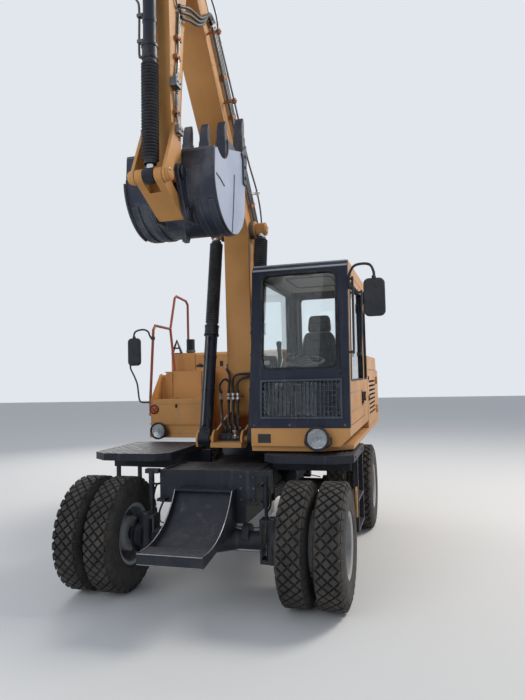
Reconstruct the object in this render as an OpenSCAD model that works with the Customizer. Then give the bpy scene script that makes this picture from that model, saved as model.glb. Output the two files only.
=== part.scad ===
// Wheeled excavator with twin tyres on both axles, a one-piece boom and a backhoe bucket.
// X points to the machine's left, Y to its rear, Z up; the ground is Z = 0.
// All places are measured from the swing axis, and row() then centres the whole machine along Y.

/* [Wheels] */
// Radius of a tyre
tyre_r = 510; // [480:5:520]
// Width of a tyre
tyre_w = 250; // [220:5:262]
// Distance between the middles of the two tyres of a pair
twin_spacing = 300; // [285:5:310]
// Distance between the middles of the left and right pairs
track_w = 1960; // [1940:10:2020]
// Radius of the rim where the tyre sits
rim_r = 254; // [245:1:262]
// Distance from the front axle to the rear axle
wheelbase = 2550; // [2450:10:2650]
// Distance of the front axle ahead of the swing axis
axle_ahead = 2000; // [1960:10:2060]
// Sideways place of a kingpin
kingpin_x = 600; // [590:5:610]
// Radius of a kingpin
kingpin_r = 32; // [24:1:38]

/* [Chassis] */
// Width of the main beam
beam_w = 700; // [600:10:720]
// Underside of the main beam
beam_z = 640; // [620:5:680]
// Top of the main beam
beam_top = 1000; // [960:5:1010]
// Width of the front box
nose_w = 920; // [860:10:940]
// Underside of the front box
nose_z = 800; // [790:5:860]
// Top of the front box and its deck
deck_z = 1080; // [1050:5:1090]
// Rear end of the chassis behind the swing axis
chassis_rear = 1180; // [1100:10:1250]
// Width of the front boarding step
step_w = 540; // [460:10:600]
// How far the boarding step reaches ahead of the front box
step_reach = 810; // [700:10:840]
// Half width over the side platforms
platform_x = 1270; // [1220:10:1300]
// Top of the side platforms
platform_z = 1210; // [1190:5:1212]
// Depth of a side platform's lip
platform_t = 70; // [50:5:80]
// Radius of the slewing ring
slew_r = 500; // [460:10:540]

/* [Upper structure] */
// Underside of the turning deck
upper_z = 1228; // [1222:1:1236]
// Thickness of the turning deck
upper_t = 46; // [36:2:52]
// Half width of the turning deck
upper_x = 1245; // [1200:5:1255]
// Radius of the tail
tail_r = 2120; // [2050:10:2150]
// Place where the counterweight begins
weight_y = 1380; // [1340:10:1420]
// Top of the counterweight
weight_z = 1960; // [1850:10:2000]
// Top of the fixed walls of the engine bay
bay_z = 2040; // [1980:10:2060]
// Height of the engine hood and the catwalk above those walls
hood_h = 200; // [160:10:260]
// Top of the fuel tank
tank_z = 2000; // [1950:10:2030]
// Thickness of the housing's sheet walls
sheet_t = 25; // [15:1:35]
// Width of the tool box beside the boom
box_w = 668; // [600:4:680]
// Top of the tool box
box_z = 1670; // [1600:10:1720]
// Front face of the tool box ahead of the swing axis
box_ahead = 640; // [600:5:660]
// Radius of the handrail tube
rail_r = 16; // [12:1:20]

/* [Cab] */
// Inner side of the cab
cab_x0 = 335; // [332:1:345]
// Width of the cab
cab_w = 910; // [880:2:912]
// Front of the cab at its foot, ahead of the swing axis
cab_ahead = 1725; // [1690:5:1740]
// Length of the cab
cab_l = 1755; // [1700:5:1760]
// How far the windscreen leans back at the roof
cab_lean = 160; // [120:2:200]
// Height of the painted band under the cab
cab_band = 165; // [150:5:180]
// Height of the cab above its underside
cab_h = 1696; // [1640:4:1720]
// Thickness of the cab's walls and door
cab_t = 45; // [40:1:55]
// How far the mirrors' heads reach out beyond the machine's sides
mirror_reach = 340; // [300:5:420]
// Width of the left mirror's head
mirror_w = 185; // [150:5:200]
// Height of a mirror's head
mirror_h = 335; // [280:5:360]
// Thickness of the glass
glass_t = 6; // [4:1:8]

/* [Boom] */
// Width of the boom
boom_w = 270; // [250:2:280]
// Boom foot pin: place ahead of the swing axis
foot_ahead = 720; // [700:5:740]
// Boom foot pin: height
foot_z = 1600; // [1590:5:1620]
// Radius of the boom foot pin
foot_pin_r = 42; // [34:1:46]
// Boom tip pin: place ahead of the swing axis
tip_ahead = 2590; // [2560:5:2610]
// Boom tip pin: height
tip_z = 5590; // [5500:10:5690]
// Radius of the boom tip pin
tip_pin_r = 38; // [30:1:42]
// Boom cylinder foot pin: place ahead of the swing axis
lift_ahead = 1365; // [1355:5:1375]
// Boom cylinder foot pin: height
lift_z = 1300; // [1295:1:1310]
// Sideways place of each boom cylinder
lift_x = 255; // [253:1:257]
// Radius of a boom cylinder's barrel
lift_r = 65; // [55:1:68]
// Radius of the pins of the boom cylinders
lift_pin_r = 34; // [26:1:38]

/* [Arm and bucket] */
// Width of the arm
arm_w = 220; // [200:2:222]
// Length from the boom tip pin to the arm's lever pin
lever_l = 560; // [500:10:640]
// Bucket pin: place ahead of the swing axis
bucket_ahead = 2760; // [2750:5:2770]
// Bucket pin: height
bucket_z = 3490; // [3480:5:3500]
// Width over the bucket
bucket_w = 760; // [700:10:800]
// Thickness of the bucket's shell
bucket_t = 18; // [12:1:24]
// Number of bucket teeth
teeth = 5; // [3:1:6]
// Radius of the bucket cylinder's barrel
curl_r = 50; // [44:1:52]
// Radius of the arm cylinder's barrel
crowd_r = 62; // [52:1:64]
// Radius of the pins at the bucket and its links
link_pin_r = 30; // [22:1:32]

/* [Hidden] */
$fn = 48;
paint = "#d98e32";
black = "#1d2430";
steel = "#8f969c";
rubber = "#26282b";
glass = "#9fb4c0";

// Clearance of a pin in its eye, of parts that turn beside one another, and of faces that rest together
pin_gap = 0.3;
side_gap = 5;
seat_gap = 0.3;

// Pins in the (Y, Z) plane
foot_pin = [-foot_ahead, foot_z];
tip_pin = [-tip_ahead, tip_z];
lift_foot = [-lift_ahead, lift_z];
lift_eye = [-900, 3500];
crowd_foot = [-760, 4020];
lever_angle = 114.4;
lever_pin = tip_pin + lever_l * [cos(lever_angle), sin(lever_angle)];
bucket_pin = [-bucket_ahead, bucket_z];
rocker_pin = [-2800, 3810];
link_pin = [-3000, 3400];
ear_pin = [-2640, 3210];
curl_foot = [-2960, 5330];

// Levels and places that follow from the sizes above
front_y = -axle_ahead;
rear_y = front_y + wheelbase;
axle_z = tyre_r;
pair_x = track_w / 2;
deck_top = upper_z + upper_t;
cab_z = deck_top + seat_gap;
hood_z = bay_z + hood_h;
cab_x1 = cab_x0 + cab_w;
cab_y0 = -cab_ahead;
cab_y1 = cab_y0 + cab_l;
cab_top = cab_z + cab_h;
sill_z = cab_z + cab_band;
// Floor inside the cab, on which the seat and the levers stand
floor_z = sill_z + cab_t + seat_gap;
lean = atan(cab_lean / (cab_top - sill_z));
box_y = -box_ahead;
box_x1 = -upper_x + box_w;
bay_y = 0;
// Front end of the whole machine at the link work, and the shift that centres it
nose_end = link_pin[0] - 59;
row_y = -(nose_end + tail_r) / 2;

// Moves the machine from the swing axis to the middle of its length
module row() translate([0, row_y, 0]) children();
// A block between two corners
module block(a, b) translate(a) cube(b - a);
// A (Y, Z) outline spread along X from x0 to x1
module across(x0, x1) translate([x0, 0, 0]) rotate([90, 0, 90]) linear_extrude(x1 - x0) children();
// An (X, Y) outline raised from z0 to z1
module raised(z0, z1) translate([0, 0, z0]) linear_extrude(z1 - z0) children();
// A round bar along X at a (Y, Z) place
module pin(p, r, x0, x1) translate([x0, p[0], p[1]]) rotate([0, 90, 0]) cylinder(r = r, h = x1 - x0);
// A round bar between two points
module bar(p, q, r) {
    v = q - p;
    translate(p) rotate([0, acos(v[2] / norm(v)), atan2(v[1], v[0])]) cylinder(r = r, h = norm(v));
}
// A bent tube through a list of points, with a slight bead at each bend
module tube(points, r, bead = 0.6) {
    for (i = [0:len(points) - 2]) bar(points[i], points[i + 1], r);
    for (i = [1:len(points) - 2]) translate(points[i]) sphere(r + bead);
}
// A flat link between two round ends of different radius
module link2(p, r1, q, r2) {
    a = atan2(q[1] - p[1], q[0] - p[0]);
    b = acos((r1 - r2) / norm(q - p));
    polygon([for (s = [1, -1]) p + r1 * [cos(a + s * b), sin(a + s * b)],
        for (s = [-1, 1]) q + r2 * [cos(a + s * b), sin(a + s * b)]]);
    translate(p) circle(r1);
    translate(q) circle(r2);
}
function along(p, q, d) = p + d * (q - p) / norm(q - p);
// The machine's left and right copies of one piece
module both() for (s = [0, 1]) mirror([s, 0, 0]) children();

// Chassis beam, front box, brackets of the front axle, lugs for tying down and the tow hitch
platform_low = platform_z - platform_t;
tyre_top = 2 * tyre_r;
// Bulges of the axle housings, and the pin on which the front axle rocks between two brackets
front_bulge = 120;
rear_bulge = 170;
pivot_z = axle_z + 80;
pivot_r = 30;
pivot_reach = 155;
bracket_t = 40;
lug_bore_r = 20;
module chassis_frame() color(black) row() difference() {
    nose_x = nose_w / 2;
    lug = 24;
    union() {
        block([-beam_w / 2, front_y + 10, beam_z], [beam_w / 2, chassis_rear, beam_top]);
        block([-nose_x, front_y + 10, nose_z], [nose_x, front_y + 560, deck_z]);
        for (s = [-1, 1]) translate([0, front_y + s * (pivot_reach + bracket_t / 2), 0])
            block([-110, -bracket_t / 2, pivot_z - 45], [110, bracket_t / 2, beam_z + 1]);
        block([-110, front_y - pivot_reach - bracket_t, beam_z], [110, front_y + 11, beam_z + 70]);
        both() block([nose_x - 80, front_y - 60, nose_z + 20], [nose_x, front_y + 11, nose_z + 20 + lug]);
        both() block([200, chassis_rear - 1, beam_z + 60], [200 + lug, chassis_rear + 80, beam_z + 200]);
        block([-90, chassis_rear - 1, beam_z + 20], [90, chassis_rear + 110, beam_z + 60]);
    }
    translate([0, front_y, pivot_z]) rotate([90, 0, 0])
        cylinder(r = pivot_r + pin_gap, h = 500, center = true);
    pin([rear_y, axle_z], rear_bulge + 10, -240, 240);
    both() translate([nose_x - 40, front_y - 20, nose_z]) cylinder(r = lug_bore_r, h = 80);
    both() pin([chassis_rear + 40, beam_z + 130], lug_bore_r, 190, 240);
    translate([0, chassis_rear + 60, beam_z]) cylinder(r = 22, h = 80);
}

// Slewing pedestal on the beam, and the outriggers that carry the side platforms, two on each side
module pedestal() color(black) row() raised(beam_top + seat_gap, upper_z - 50) circle(slew_r + 40);
module outriggers() color(black) row() both() {
    x1 = platform_x - 60;
    block([nose_w / 2 + seat_gap, front_y + 500, tyre_top + 10], [x1, front_y + 560, platform_low]);
    block([beam_w / 2 + seat_gap, front_y + 1000, beam_top - 60], [x1, front_y + 1060, platform_low]);
}

// Front boarding step: a curved chute between two cheeks, with a top flange and a tread at its foot
step_top = nose_z + 140;
step_back = front_y + 10 - seat_gap;
tread_y = front_y + 10 - step_reach;
tread_z = axle_z + 85;
tread_d = 190;
tread_lip = 85;
flange_d = 110;
cheek_t = 12;
chute_depth = 50;
// The arc of the cheeks' edge leaves the tread level and ends at the flange
arc_y = tread_y + 110;
arc_r = (pow(step_back - flange_d - arc_y, 2) + pow(step_top - tread_z, 2)) / (2 * (step_top - tread_z));
module cheek_outline() difference() {
    polygon([[step_back, step_top], [step_back - flange_d, step_top], [tread_y, tread_z],
        [tread_y, tread_z - tread_lip], [tread_y + 20, tread_z - tread_lip], [step_back, tread_z + 20]]);
    translate([arc_y, tread_z + arc_r]) circle(arc_r, $fn = 180);
}
module chute_outline() intersection() {
    translate([arc_y, tread_z + arc_r]) difference() {
        circle(arc_r + chute_depth + cheek_t, $fn = 180);
        circle(arc_r + chute_depth, $fn = 180);
    }
    translate([tread_y + tread_d - cheek_t, tread_z - tread_lip])
        square([step_back - tread_y - tread_d, step_top - tread_z + tread_lip - 1]);
}
module boarding_step() color(black) row() {
    half = step_w / 2;
    t = cheek_t;
    for (x = [-half, half - t]) across(x, x + t) cheek_outline();
    across(-half, half) {
        polygon([[tread_y, tread_z], [tread_y, tread_z - tread_lip], [tread_y + t, tread_z - tread_lip],
            [tread_y + t, tread_z - t], [tread_y + tread_d - t, tread_z - t],
            [tread_y + tread_d - t, tread_z - chute_depth - 2],
            [tread_y + tread_d, tread_z - chute_depth - 2], [tread_y + tread_d, tread_z]]);
        translate([step_back - flange_d, step_top - t]) square([flange_d, t]);
        chute_outline();
    }
}

// Side platforms with clipped corners and deep lips
platform_y0 = front_y + 150;
platform_y1 = front_y + 1120;
platform_lip = 12;
module side_platforms() color(black) row() both() {
    inner = nose_w / 2 + seat_gap;
    y0 = platform_y0;
    y1 = platform_y1;
    lip = platform_lip;
    z0 = platform_low;
    difference() {
        raised(z0 + seat_gap, platform_z) polygon([[inner + 120, y0], [platform_x - 150, y0],
            [platform_x, y0 + 110], [platform_x, y1], [inner, y1], [inner, y0 + 110]]);
        raised(z0 - 1, platform_z - lip) polygon([[inner + 124, y0 + lip], [platform_x - 154, y0 + lip],
            [platform_x - lip, y0 + 116], [platform_x - lip, y1 - lip], [inner + lip, y1 - lip],
            [inner + lip, y0 + 116]]);
    }
}
// A ladder under each platform: two treads between two posts that stand inside its lip
module ladders() color(black) row() both() {
    post = 30;
    x1 = platform_x - platform_lip - seat_gap;
    y0 = platform_y0 + 470;
    y1 = platform_y1 - platform_lip - seat_gap;
    top = platform_z - platform_lip - seat_gap;
    for (y = [y0, y1 - post]) block([x1 - 38, y, axle_z - 60], [x1, y + post, top]);
    for (z = [axle_z - 60, axle_z + 210]) block([x1 - 158, y0 + 1, z], [x1, y1 - 1, z + 25]);
}

// Outline of a steering axle's or drive axle's bulged housing, turned about X
module axle_body(half, bulge) rotate([0, 90, 0]) rotate_extrude()
    polygon([[0, -half], [75, -half], [75, -330], [bulge, -110],
        [bulge, 110], [75, 330], [75, half], [0, half]]);

// Front axle with the oscillation trunnion and a fork for each kingpin
module front_axle() color(black) row() difference() {
    fork = 150;
    inner = kingpin_x - 90;
    union() {
        translate([0, front_y, axle_z]) axle_body(inner, front_bulge);
        translate([0, front_y, pivot_z]) rotate([90, 0, 0]) {
            cylinder(r = pivot_r, h = 2 * (pivot_reach + bracket_t), center = true);
            cylinder(r = pivot_r + 14, h = 2 * (pivot_reach - side_gap), center = true);
        }
        both() block([inner - 20, front_y - 60, axle_z - fork - 35],
            [inner, front_y + 60, axle_z + fork + 35]);
        both() for (z = [axle_z - fork - 35, axle_z + fork])
            raised(z, z + 35) {
                translate([kingpin_x, front_y]) circle(70);
                translate([inner - 1, front_y - 60]) square([kingpin_x - inner + 1, 120]);
            }
    }
    both() translate([kingpin_x, front_y, axle_z - 300]) cylinder(r = kingpin_r + pin_gap, h = 600);
}

// Rear drive axle with its end flanges
module rear_axle() color(black) row() translate([0, rear_y, axle_z]) {
    spindle = pair_x - 90;
    axle_body(kingpin_x + 60, rear_bulge);
    both() block([255, -60, 0], [335, 60, beam_z - axle_z - seat_gap]);
    both() rotate([0, 90, 0]) translate([0, 0, kingpin_x]) cylinder(r = 115, h = 65);
    both() rotate([0, 90, 0]) translate([0, 0, kingpin_x]) cylinder(r = 58, h = spindle - kingpin_x);
}

// Two rams that lock the front axle against rocking, standing between its forks and the front box
module lock_cylinders() color(black) row() both() translate([lock_x, front_y, 0]) {
    foot = axle_z + fork_top + seat_gap;
    top = deck_z + 20;
    translate([0, 0, foot]) cylinder(r = 15, h = 120);
    translate([0, 0, foot + 100]) cylinder(r = 26, h = top - 39 - foot - 100);
    block([nose_w / 2 + seat_gap - lock_x, -30, top - 40], [50, 30, top]);
}
lock_x = kingpin_x - 62;
fork_top = 185;

// Gearbox under the beam and the shafts to both axles
module driveline() color(steel) row() {
    y0 = front_y + 1250;
    y1 = y0 + 420;
    shaft_z = axle_z - 10;
    block([-170, y0, shaft_z - 150], [170, y1, beam_z - seat_gap]);
    bar([0, front_y + front_bulge + seat_gap, shaft_z], [0, y0 + 1, shaft_z], 38);
    bar([0, y1 - 1, shaft_z], [0, rear_y - rear_bulge - seat_gap, shaft_z], 38);
    for (y = [y0 - 60, y1 + 10]) bar([0, y, shaft_z], [0, y + 50, shaft_z], 62);
}

// Slewing ring between the chassis and the turning deck
module slew_ring() color(steel) row() raised(upper_z - 50, upper_z - seat_gap) difference() {
    circle(slew_r);
    circle(slew_r - 90);
}

// Steered hub carrier with its kingpin, spindle and steering arm
arm_back = 220;
module knuckle() translate([kingpin_x, front_y, axle_z]) {
    fork = 150;
    spindle = pair_x - 90 - kingpin_x;
    translate([0, 0, -fork - 34]) cylinder(r = kingpin_r, h = 2 * fork + 68);
    translate([0, 0, -fork + 1]) cylinder(r = 68, h = 2 * fork - 2);
    rotate([0, 90, 0]) cylinder(r = 115, h = 65);
    rotate([0, 90, 0]) cylinder(r = 58, h = spindle);
    difference() {
        translate([0, 0, -125]) linear_extrude(35) link2([0, 0], 42, [0, arm_back], 30);
        translate([0, arm_back, -130]) cylinder(r = 14 + pin_gap, h = 60);
    }
}
module knuckle_left() color(black) row() knuckle();
module knuckle_right() color(black) row() mirror([1, 0, 0]) knuckle();

// Track rod that joins the steering arms, parallel to the axle at every lock
module tie_rod() color(steel) row() translate([0, front_y + arm_back, axle_z]) {
    bar([-kingpin_x, 0, -155], [kingpin_x, 0, -155], 18);
    for (x = [-kingpin_x, kingpin_x]) translate([x, 0, -180]) cylinder(r = 28, h = 50);
    for (x = [-kingpin_x, kingpin_x]) translate([x, 0, -131]) cylinder(r = 14, h = 41);
}

// Section of one tyre, and the pair that it makes
module tyre() rotate([0, 90, 0]) rotate_extrude($fn = 96) {
    h = tyre_w / 2;
    polygon([[rim_r, -0.76 * h], [rim_r + 60, -0.96 * h], [rim_r + 125, -h], [tyre_r - 45, -0.94 * h],
        [tyre_r - 6, -0.74 * h], [tyre_r, -0.4 * h], [tyre_r, 0.4 * h], [tyre_r - 6, 0.74 * h],
        [tyre_r - 45, 0.94 * h], [rim_r + 125, h], [rim_r + 60, 0.96 * h], [rim_r, 0.76 * h]]);
}
module tyre_pair(side, y) color(rubber) row()
    for (k = [-1, 1]) translate([side * pair_x + k * twin_spacing / 2, y, axle_z]) tyre();
// Two rims on one hub that turns on the spindle
module hub(side, y) color(steel) row() translate([side * pair_x, y, axle_z]) rotate([0, 90 * side, 0])
    rotate_extrude($fn = 96) {
        seat = rim_r - pin_gap;
        rim_t = 14;
        half = 0.76 * tyre_w / 2;
        for (k = [-1, 1]) translate([seat - rim_t, k * twin_spacing / 2 - half]) square([rim_t, 2 * half]);
        translate([seat - rim_t - 12, -twin_spacing / 2]) square([13, twin_spacing]);
        translate([120, -8]) square([seat - rim_t - 121, 30]);
        polygon([[58 + pin_gap, -230], [150, -230], [165, -60], [165, 40], [120, 90], [110, 190], [0, 190],
            [0, -90 + pin_gap], [58 + pin_gap, -90 + pin_gap]]);
    }
module tyres_front_left() tyre_pair(1, front_y);
module tyres_front_right() tyre_pair(-1, front_y);
module tyres_rear_left() tyre_pair(1, rear_y);
module tyres_rear_right() tyre_pair(-1, rear_y);
module hub_front_left() hub(1, front_y);
module hub_front_right() hub(-1, front_y);
module hub_rear_left() hub(1, rear_y);
module hub_rear_right() hub(-1, rear_y);

// Plan of the turning deck: rear inside the tail's circle, front stepped round the boom cylinders' feet
weight_t = 170;
nose_y = -lift_ahead + 110;
module deck_plan() intersection() {
    circle(tail_r - weight_t, $fn = 128);
    polygon([[-upper_x, box_y], [-lug_x - web_t, box_y], [-lug_x - web_t, nose_y], [-web_x - web_t, nose_y],
        [-web_x - web_t, nose_y - 230], [web_x + web_t, nose_y - 230], [web_x + web_t, nose_y],
        [cab_x0 - 5, nose_y], [cab_x0 - 5, cab_y0 + 40], [upper_x - 60, cab_y0 + 40], [upper_x, cab_y0 + 140],
        [upper_x, tail_r], [-upper_x, tail_r]]);
}

// Turning deck with the two webs that carry the boom foot and the feet of its cylinders
web_t = 20;
web_x = boom_w / 2 + side_gap;
lift_eye_w = 110;
lug_x = lift_x + lift_eye_w / 2 + 3;
module upper_frame() color(paint) row() {
    raised(upper_z, deck_top) deck_plan();
    for (s = [-1, 1]) {
        x0 = s > 0 ? web_x : -web_x - web_t;
        across(x0, x0 + web_t) {
            polygon([[-lift_ahead - 90, upper_z], [-lift_ahead - 90, lift_z], [-lift_ahead + 60, lift_z + 90],
                [-foot_ahead - 190, foot_z - 60], [-foot_ahead + 150, foot_z], [bay_y - 60, 1500],
                [bay_y - 60, deck_top - 1], [nose_y, upper_z]]);
            translate(foot_pin) circle(150);
            translate(lift_foot) circle(90);
        }
        x1 = s > 0 ? lug_x : -lug_x - 18;
        across(x1, x1 + 18) {
            translate(lift_foot) circle(80);
            polygon([[-lift_ahead - 70, upper_z], [-lift_ahead - 80, lift_z], [-lift_ahead + 80, lift_z],
                [nose_y + 40, deck_top + 40], [nose_y + 40, upper_z]]);
        }
        x2 = s > 0 ? web_x + web_t - 1 : -lug_x - 18;
        pin(lift_foot, lift_pin_r, x2, x2 + lug_x + 19 - web_x - web_t);
    }
    pin(foot_pin, foot_pin_r, -web_x - web_t - 12, web_x + web_t + 12);
}

// Counterweight: a thick crescent with a stepped top edge and two lifting bores
module counterweight() color(paint) row() difference() {
    union() {
        raised(deck_top + seat_gap, weight_z) tail_plan(0);
        raised(weight_z - 1, weight_z + 60) tail_plan(70);
        raised(upper_z, deck_top + 1) difference() {
            tail_plan(0);
            circle(tail_r - weight_t + seat_gap, $fn = 128);
        }
    }
    for (x = [-600, 600]) translate([x, weight_y + 180, weight_z - 200]) cylinder(r = 24, h = 400);
}
module tail_plan(inset) intersection() {
    circle(tail_r - inset, $fn = 128);
    translate([-upper_x + inset, weight_y + inset]) square([2 * (upper_x - inset), tail_r]);
}

// Engine as one plain block at its real size and place
module engine_block() color(steel) row()
    block([-800, 420, deck_top + seat_gap], [-60, 1280, bay_z - 190]);

// Halves of a door hinge, with the wall's face at X = 0 and the door's rear edge at Y = 0:
// the pin stands on the wall behind the door, and the eye is on the door
hinge_out = 15;
hinge_r = 11;
hinge_l = 100;
hinge_end = 20;
module hinge_post() translate([hinge_out, 0, 0]) {
    cylinder(r = 6, h = hinge_l);
    for (z = [0, hinge_l - hinge_end]) {
        translate([0, 0, z]) cylinder(r = hinge_r, h = hinge_end);
        block([4 - hinge_r, 0, z + 1], [hinge_r - 6, 40, z + hinge_end - 1]);
        block([-hinge_out - 2, 10, z + 1], [hinge_r - 6, 40, z + hinge_end - 1]);
    }
}
module hinge_eye() translate([hinge_out, 0, hinge_end + pin_gap]) difference() {
    h = hinge_l - 2 * (hinge_end + pin_gap);
    union() {
        cylinder(r = hinge_r, h = h);
        block([-hinge_out - 2, -40, 1], [hinge_r - 6, -8, h - 1]);
        block([4 - hinge_r, -9, 1], [hinge_r - 6, 0, h - 1]);
    }
    translate([0, 0, -1]) cylinder(r = 6 + pin_gap, h = h + 2);
}

// Housing round the engine bay: sheet walls, catwalk on the right, closed cover behind the cab
module housing() color(paint) row() {
    z0 = deck_top + seat_gap;
    rail_x = -920;
    left_x = cab_x0 - 20;
    rear_cab = cab_y1 + 30;
    back = weight_y - seat_gap;
    for (z = side_hinges) translate([upper_x, radiator_y1, z]) hinge_post();
    mirror([1, 0, 0]) for (z = side_hinges) translate([upper_x, door_y1, z]) hinge_post();
    difference() {
        union() {
            block([-upper_x, bay_y, z0], [left_x, back, bay_z]);
            block([left_x - 1, rear_cab, z0], [upper_x, back, bay_z]);
            block([left_x, rear_cab, bay_z - 1], [upper_x, back, bay_z + 90]);
            block([-upper_x, bay_y, bay_z - 1], [rail_x, back, hood_z]);
        }
        block([-upper_x + sheet_t, bay_y + sheet_t, z0 - 1],
            [left_x - sheet_t, back - sheet_t, bay_z - sheet_t]);
        block([left_x - sheet_t - 1, rear_cab + sheet_t, z0 - 1],
            [upper_x - sheet_t, back - sheet_t, bay_z + 90 - sheet_t]);
        block([rail_x + 60, bay_y + 60, bay_z - 2 * sheet_t], [left_x - 60, back - 60, bay_z + 1]);
        block([-upper_x - 1, door_y0 - side_gap, door_z0 - side_gap],
            [-upper_x + sheet_t + 1, door_y1 + side_gap, door_z1 + side_gap]);
        block([upper_x - sheet_t - 1, radiator_y0 - side_gap, door_z0 - side_gap],
            [upper_x + 1, radiator_y1 + side_gap, door_z1 + side_gap]);
    }
}
door_y0 = 380;
door_y1 = 1300;
door_z0 = 1290;
door_z1 = 1960;

// Hood over the engine, hinged at its rear edge, with chamfered sides and a grille of slots
module engine_hood() color(paint) row() {
    x0 = -920 + side_gap;
    x1 = cab_x0 - 20 - side_gap;
    y1 = weight_y - 10;
    difference() {
        across(x0, x1) polygon([[bay_y, bay_z + seat_gap], [bay_y, hood_z - 30], [bay_y + 30, hood_z],
            [y1 - 60, hood_z], [y1, hood_z - 60], [y1, bay_z + seat_gap]]);
        across(x0 + sheet_t, x1 - sheet_t) polygon([[bay_y + sheet_t, bay_z - 1],
            [bay_y + sheet_t, hood_z - 50], [bay_y + 50, hood_z - sheet_t], [y1 - 70, hood_z - sheet_t],
            [y1 - sheet_t, hood_z - 70], [y1 - sheet_t, bay_z - 1]]);
        for (i = [0:5]) block([x0 + 200 + i * 110, 620, hood_z - 60], [x0 + 250 + i * 110, 1100, hood_z + 1]);
    }
}

// Side doors, each as thick as the wall, with louvres and the eyes of two hinges at the rear edge
side_hinges = [door_z0 + 90, door_z1 - 190];
radiator_y0 = cab_y1 + 90 + side_gap;
radiator_y1 = weight_y - seat_gap - 60 - side_gap;
module side_door(y0, y1) {
    x = upper_x - sheet_t;
    difference() {
        block([x, y0, door_z0], [upper_x, y1, door_z1]);
        for (i = [0:7]) block([x - 1, y0 + 150, door_z0 + 130 + i * 55],
            [upper_x + 1, y1 - 150, door_z0 + 155 + i * 55]);
    }
    for (z = side_hinges) translate([upper_x, y1, z]) hinge_eye();
}
module pump_door() color(paint) row() mirror([1, 0, 0]) side_door(door_y0, door_y1);
module radiator_door() color(paint) row() side_door(radiator_y0, radiator_y1);

// Fuel tank with its filler neck
tank_y = box_y + 310;
module fuel_tank() color(paint) row() {
    z0 = deck_top + seat_gap;
    difference() {
        block([-upper_x, tank_y, z0], [box_x1 - 80, bay_y - seat_gap, tank_z]);
        translate([-upper_x, tank_y, tank_z]) rotate([0, 35, 0]) cube([160, 2 * box_w, 60], center = true);
    }
    translate([box_x1 - 200, tank_y + 160, tank_z - 1]) cylinder(r = 45, h = 50);
}

// Tool box with a hollow body, and its hinged lid
module tool_box() color(paint) row() {
    z0 = deck_top + seat_gap;
    y1 = tank_y - seat_gap;
    difference() {
        block([-upper_x + 20, box_y, z0], [box_x1, y1, box_z - 40]);
        block([-upper_x + 20 + sheet_t, box_y + sheet_t, z0 + 180], [box_x1 - sheet_t, y1 - sheet_t, box_z]);
    }
}
module tool_box_lid() color(paint) row()
    block([-upper_x + 40, box_y, box_z - 40 + seat_gap], [box_x1, tank_y - 25, box_z]);

// Handrails: one bent tube beside the tool box and one on the tank and the catwalk
rail_x = -1190;
rail_foot = -upper_x + 20 - rail_r - seat_gap;
rail_y = box_y + 25;
function rail_at(z) = rail_foot + (rail_x - rail_foot) * (z - 1700) / 800;
module handrails() color("#8a4a35") row() {
    tube([[rail_foot, rail_y, 1480], [rail_foot, rail_y, 1700], [rail_x, rail_y, 2500],
        [rail_x, rail_y + 50, 2555], [rail_x, tank_y + 190, 2545]], rail_r);
    tube([[rail_x + 50, tank_y + 190, tank_z + seat_gap], [rail_x + 50, tank_y + 190, tank_z + 30],
        [rail_x, tank_y + 190, 2545], [rail_x, tank_y + 340, 2960],
        [rail_x, tank_y + 390, 2990], [rail_x, tank_y + 700, 2965], [rail_x, tank_y + 760, 2920],
        [rail_x, tank_y + 760, hood_z + seat_gap]], rail_r);
}

// Exhaust stack with a slanted mouth
module exhaust() color(black) row() difference() {
    translate([-1080, 250, hood_z + seat_gap]) cylinder(r = 55, h = 190);
    translate([-1080, 250, hood_z + 20]) cylinder(r = 47, h = 200);
}

// Place of the leaning front at a height
function front_at(z) = cab_y0 + cab_lean * (z - sill_z) / (cab_top - sill_z);
// Side outline of the cab above its painted band
module cab_outline(t) {
    brow = cab_top - 60 - t;
    y1 = cab_y1 - t;
    polygon([[front_at(sill_z + t) + t, sill_z + t], [front_at(brow) + t, brow],
        [front_at(brow) + t + 51, cab_top - t], [y1 - 90, cab_top - t],
        [y1, cab_top - 90 - t], [y1, sill_z + t]]);
}
// Painted band that carries the cab, with its outer lower edge cut away
band_cut = 130;
module cab_base() color(paint) row() difference() {
    block([cab_x0, cab_y0, cab_z], [cab_x1, cab_y1, sill_z - seat_gap]);
    block([cab_x0 + cab_t, cab_y0 + cab_t, cab_z + 100], [cab_x1 - cab_t, cab_y1 - cab_t, sill_z + 1]);
    translate([cab_x1, cab_y0, cab_z]) rotate([0, 45, 0])
        cube([band_cut, 3 * cab_l, band_cut], center = true);
}
// Frame of a windscreen opening, laid out in the leaning front wall
module on_front() translate([0, cab_y0, sill_z]) rotate([-lean, 0, 0]) children();
// Rounded rectangle in the (X, Z) plane
module pane(x0, x1, z0, z1, r, y0, y1) translate([0, y1, 0]) rotate([90, 0, 0]) linear_extrude(y1 - y0) {
    for (x = [x0 + r, x1 - r]) for (z = [z0 + r, z1 - r]) translate([x, z]) circle(r);
    translate([x0 + r, z0]) square([x1 - x0 - 2 * r, z1 - z0]);
    translate([x0, z0 + r]) square([x1 - x0, z1 - z0 - 2 * r]);
}
// Windows of the front wall: left and right edge, lower and upper edge above the sill, corner radius
front_windows = [[cab_x0 + 100, cab_x1 - 110, 545, 1440, 70], [cab_x0 + 100, cab_x1 - 75, 100, 425, 30]];
// Door opening: front and rear edge, and its height above the sill
door_front = cab_y0 + 60;
door_back = cab_y1 - 430;
door_top = cab_h - cab_band - 110;
// Windows of the side walls: front and rear edge, lower and upper edge above the sill
right_window = [cab_y0 + 240, cab_y1 - 200, 420, 1420];
quarter_window = [door_back + 90, cab_y1 - 100, 420, 1420];
rear_window = [cab_x0 + 140, cab_x1 - 140, 620, 1400];
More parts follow.
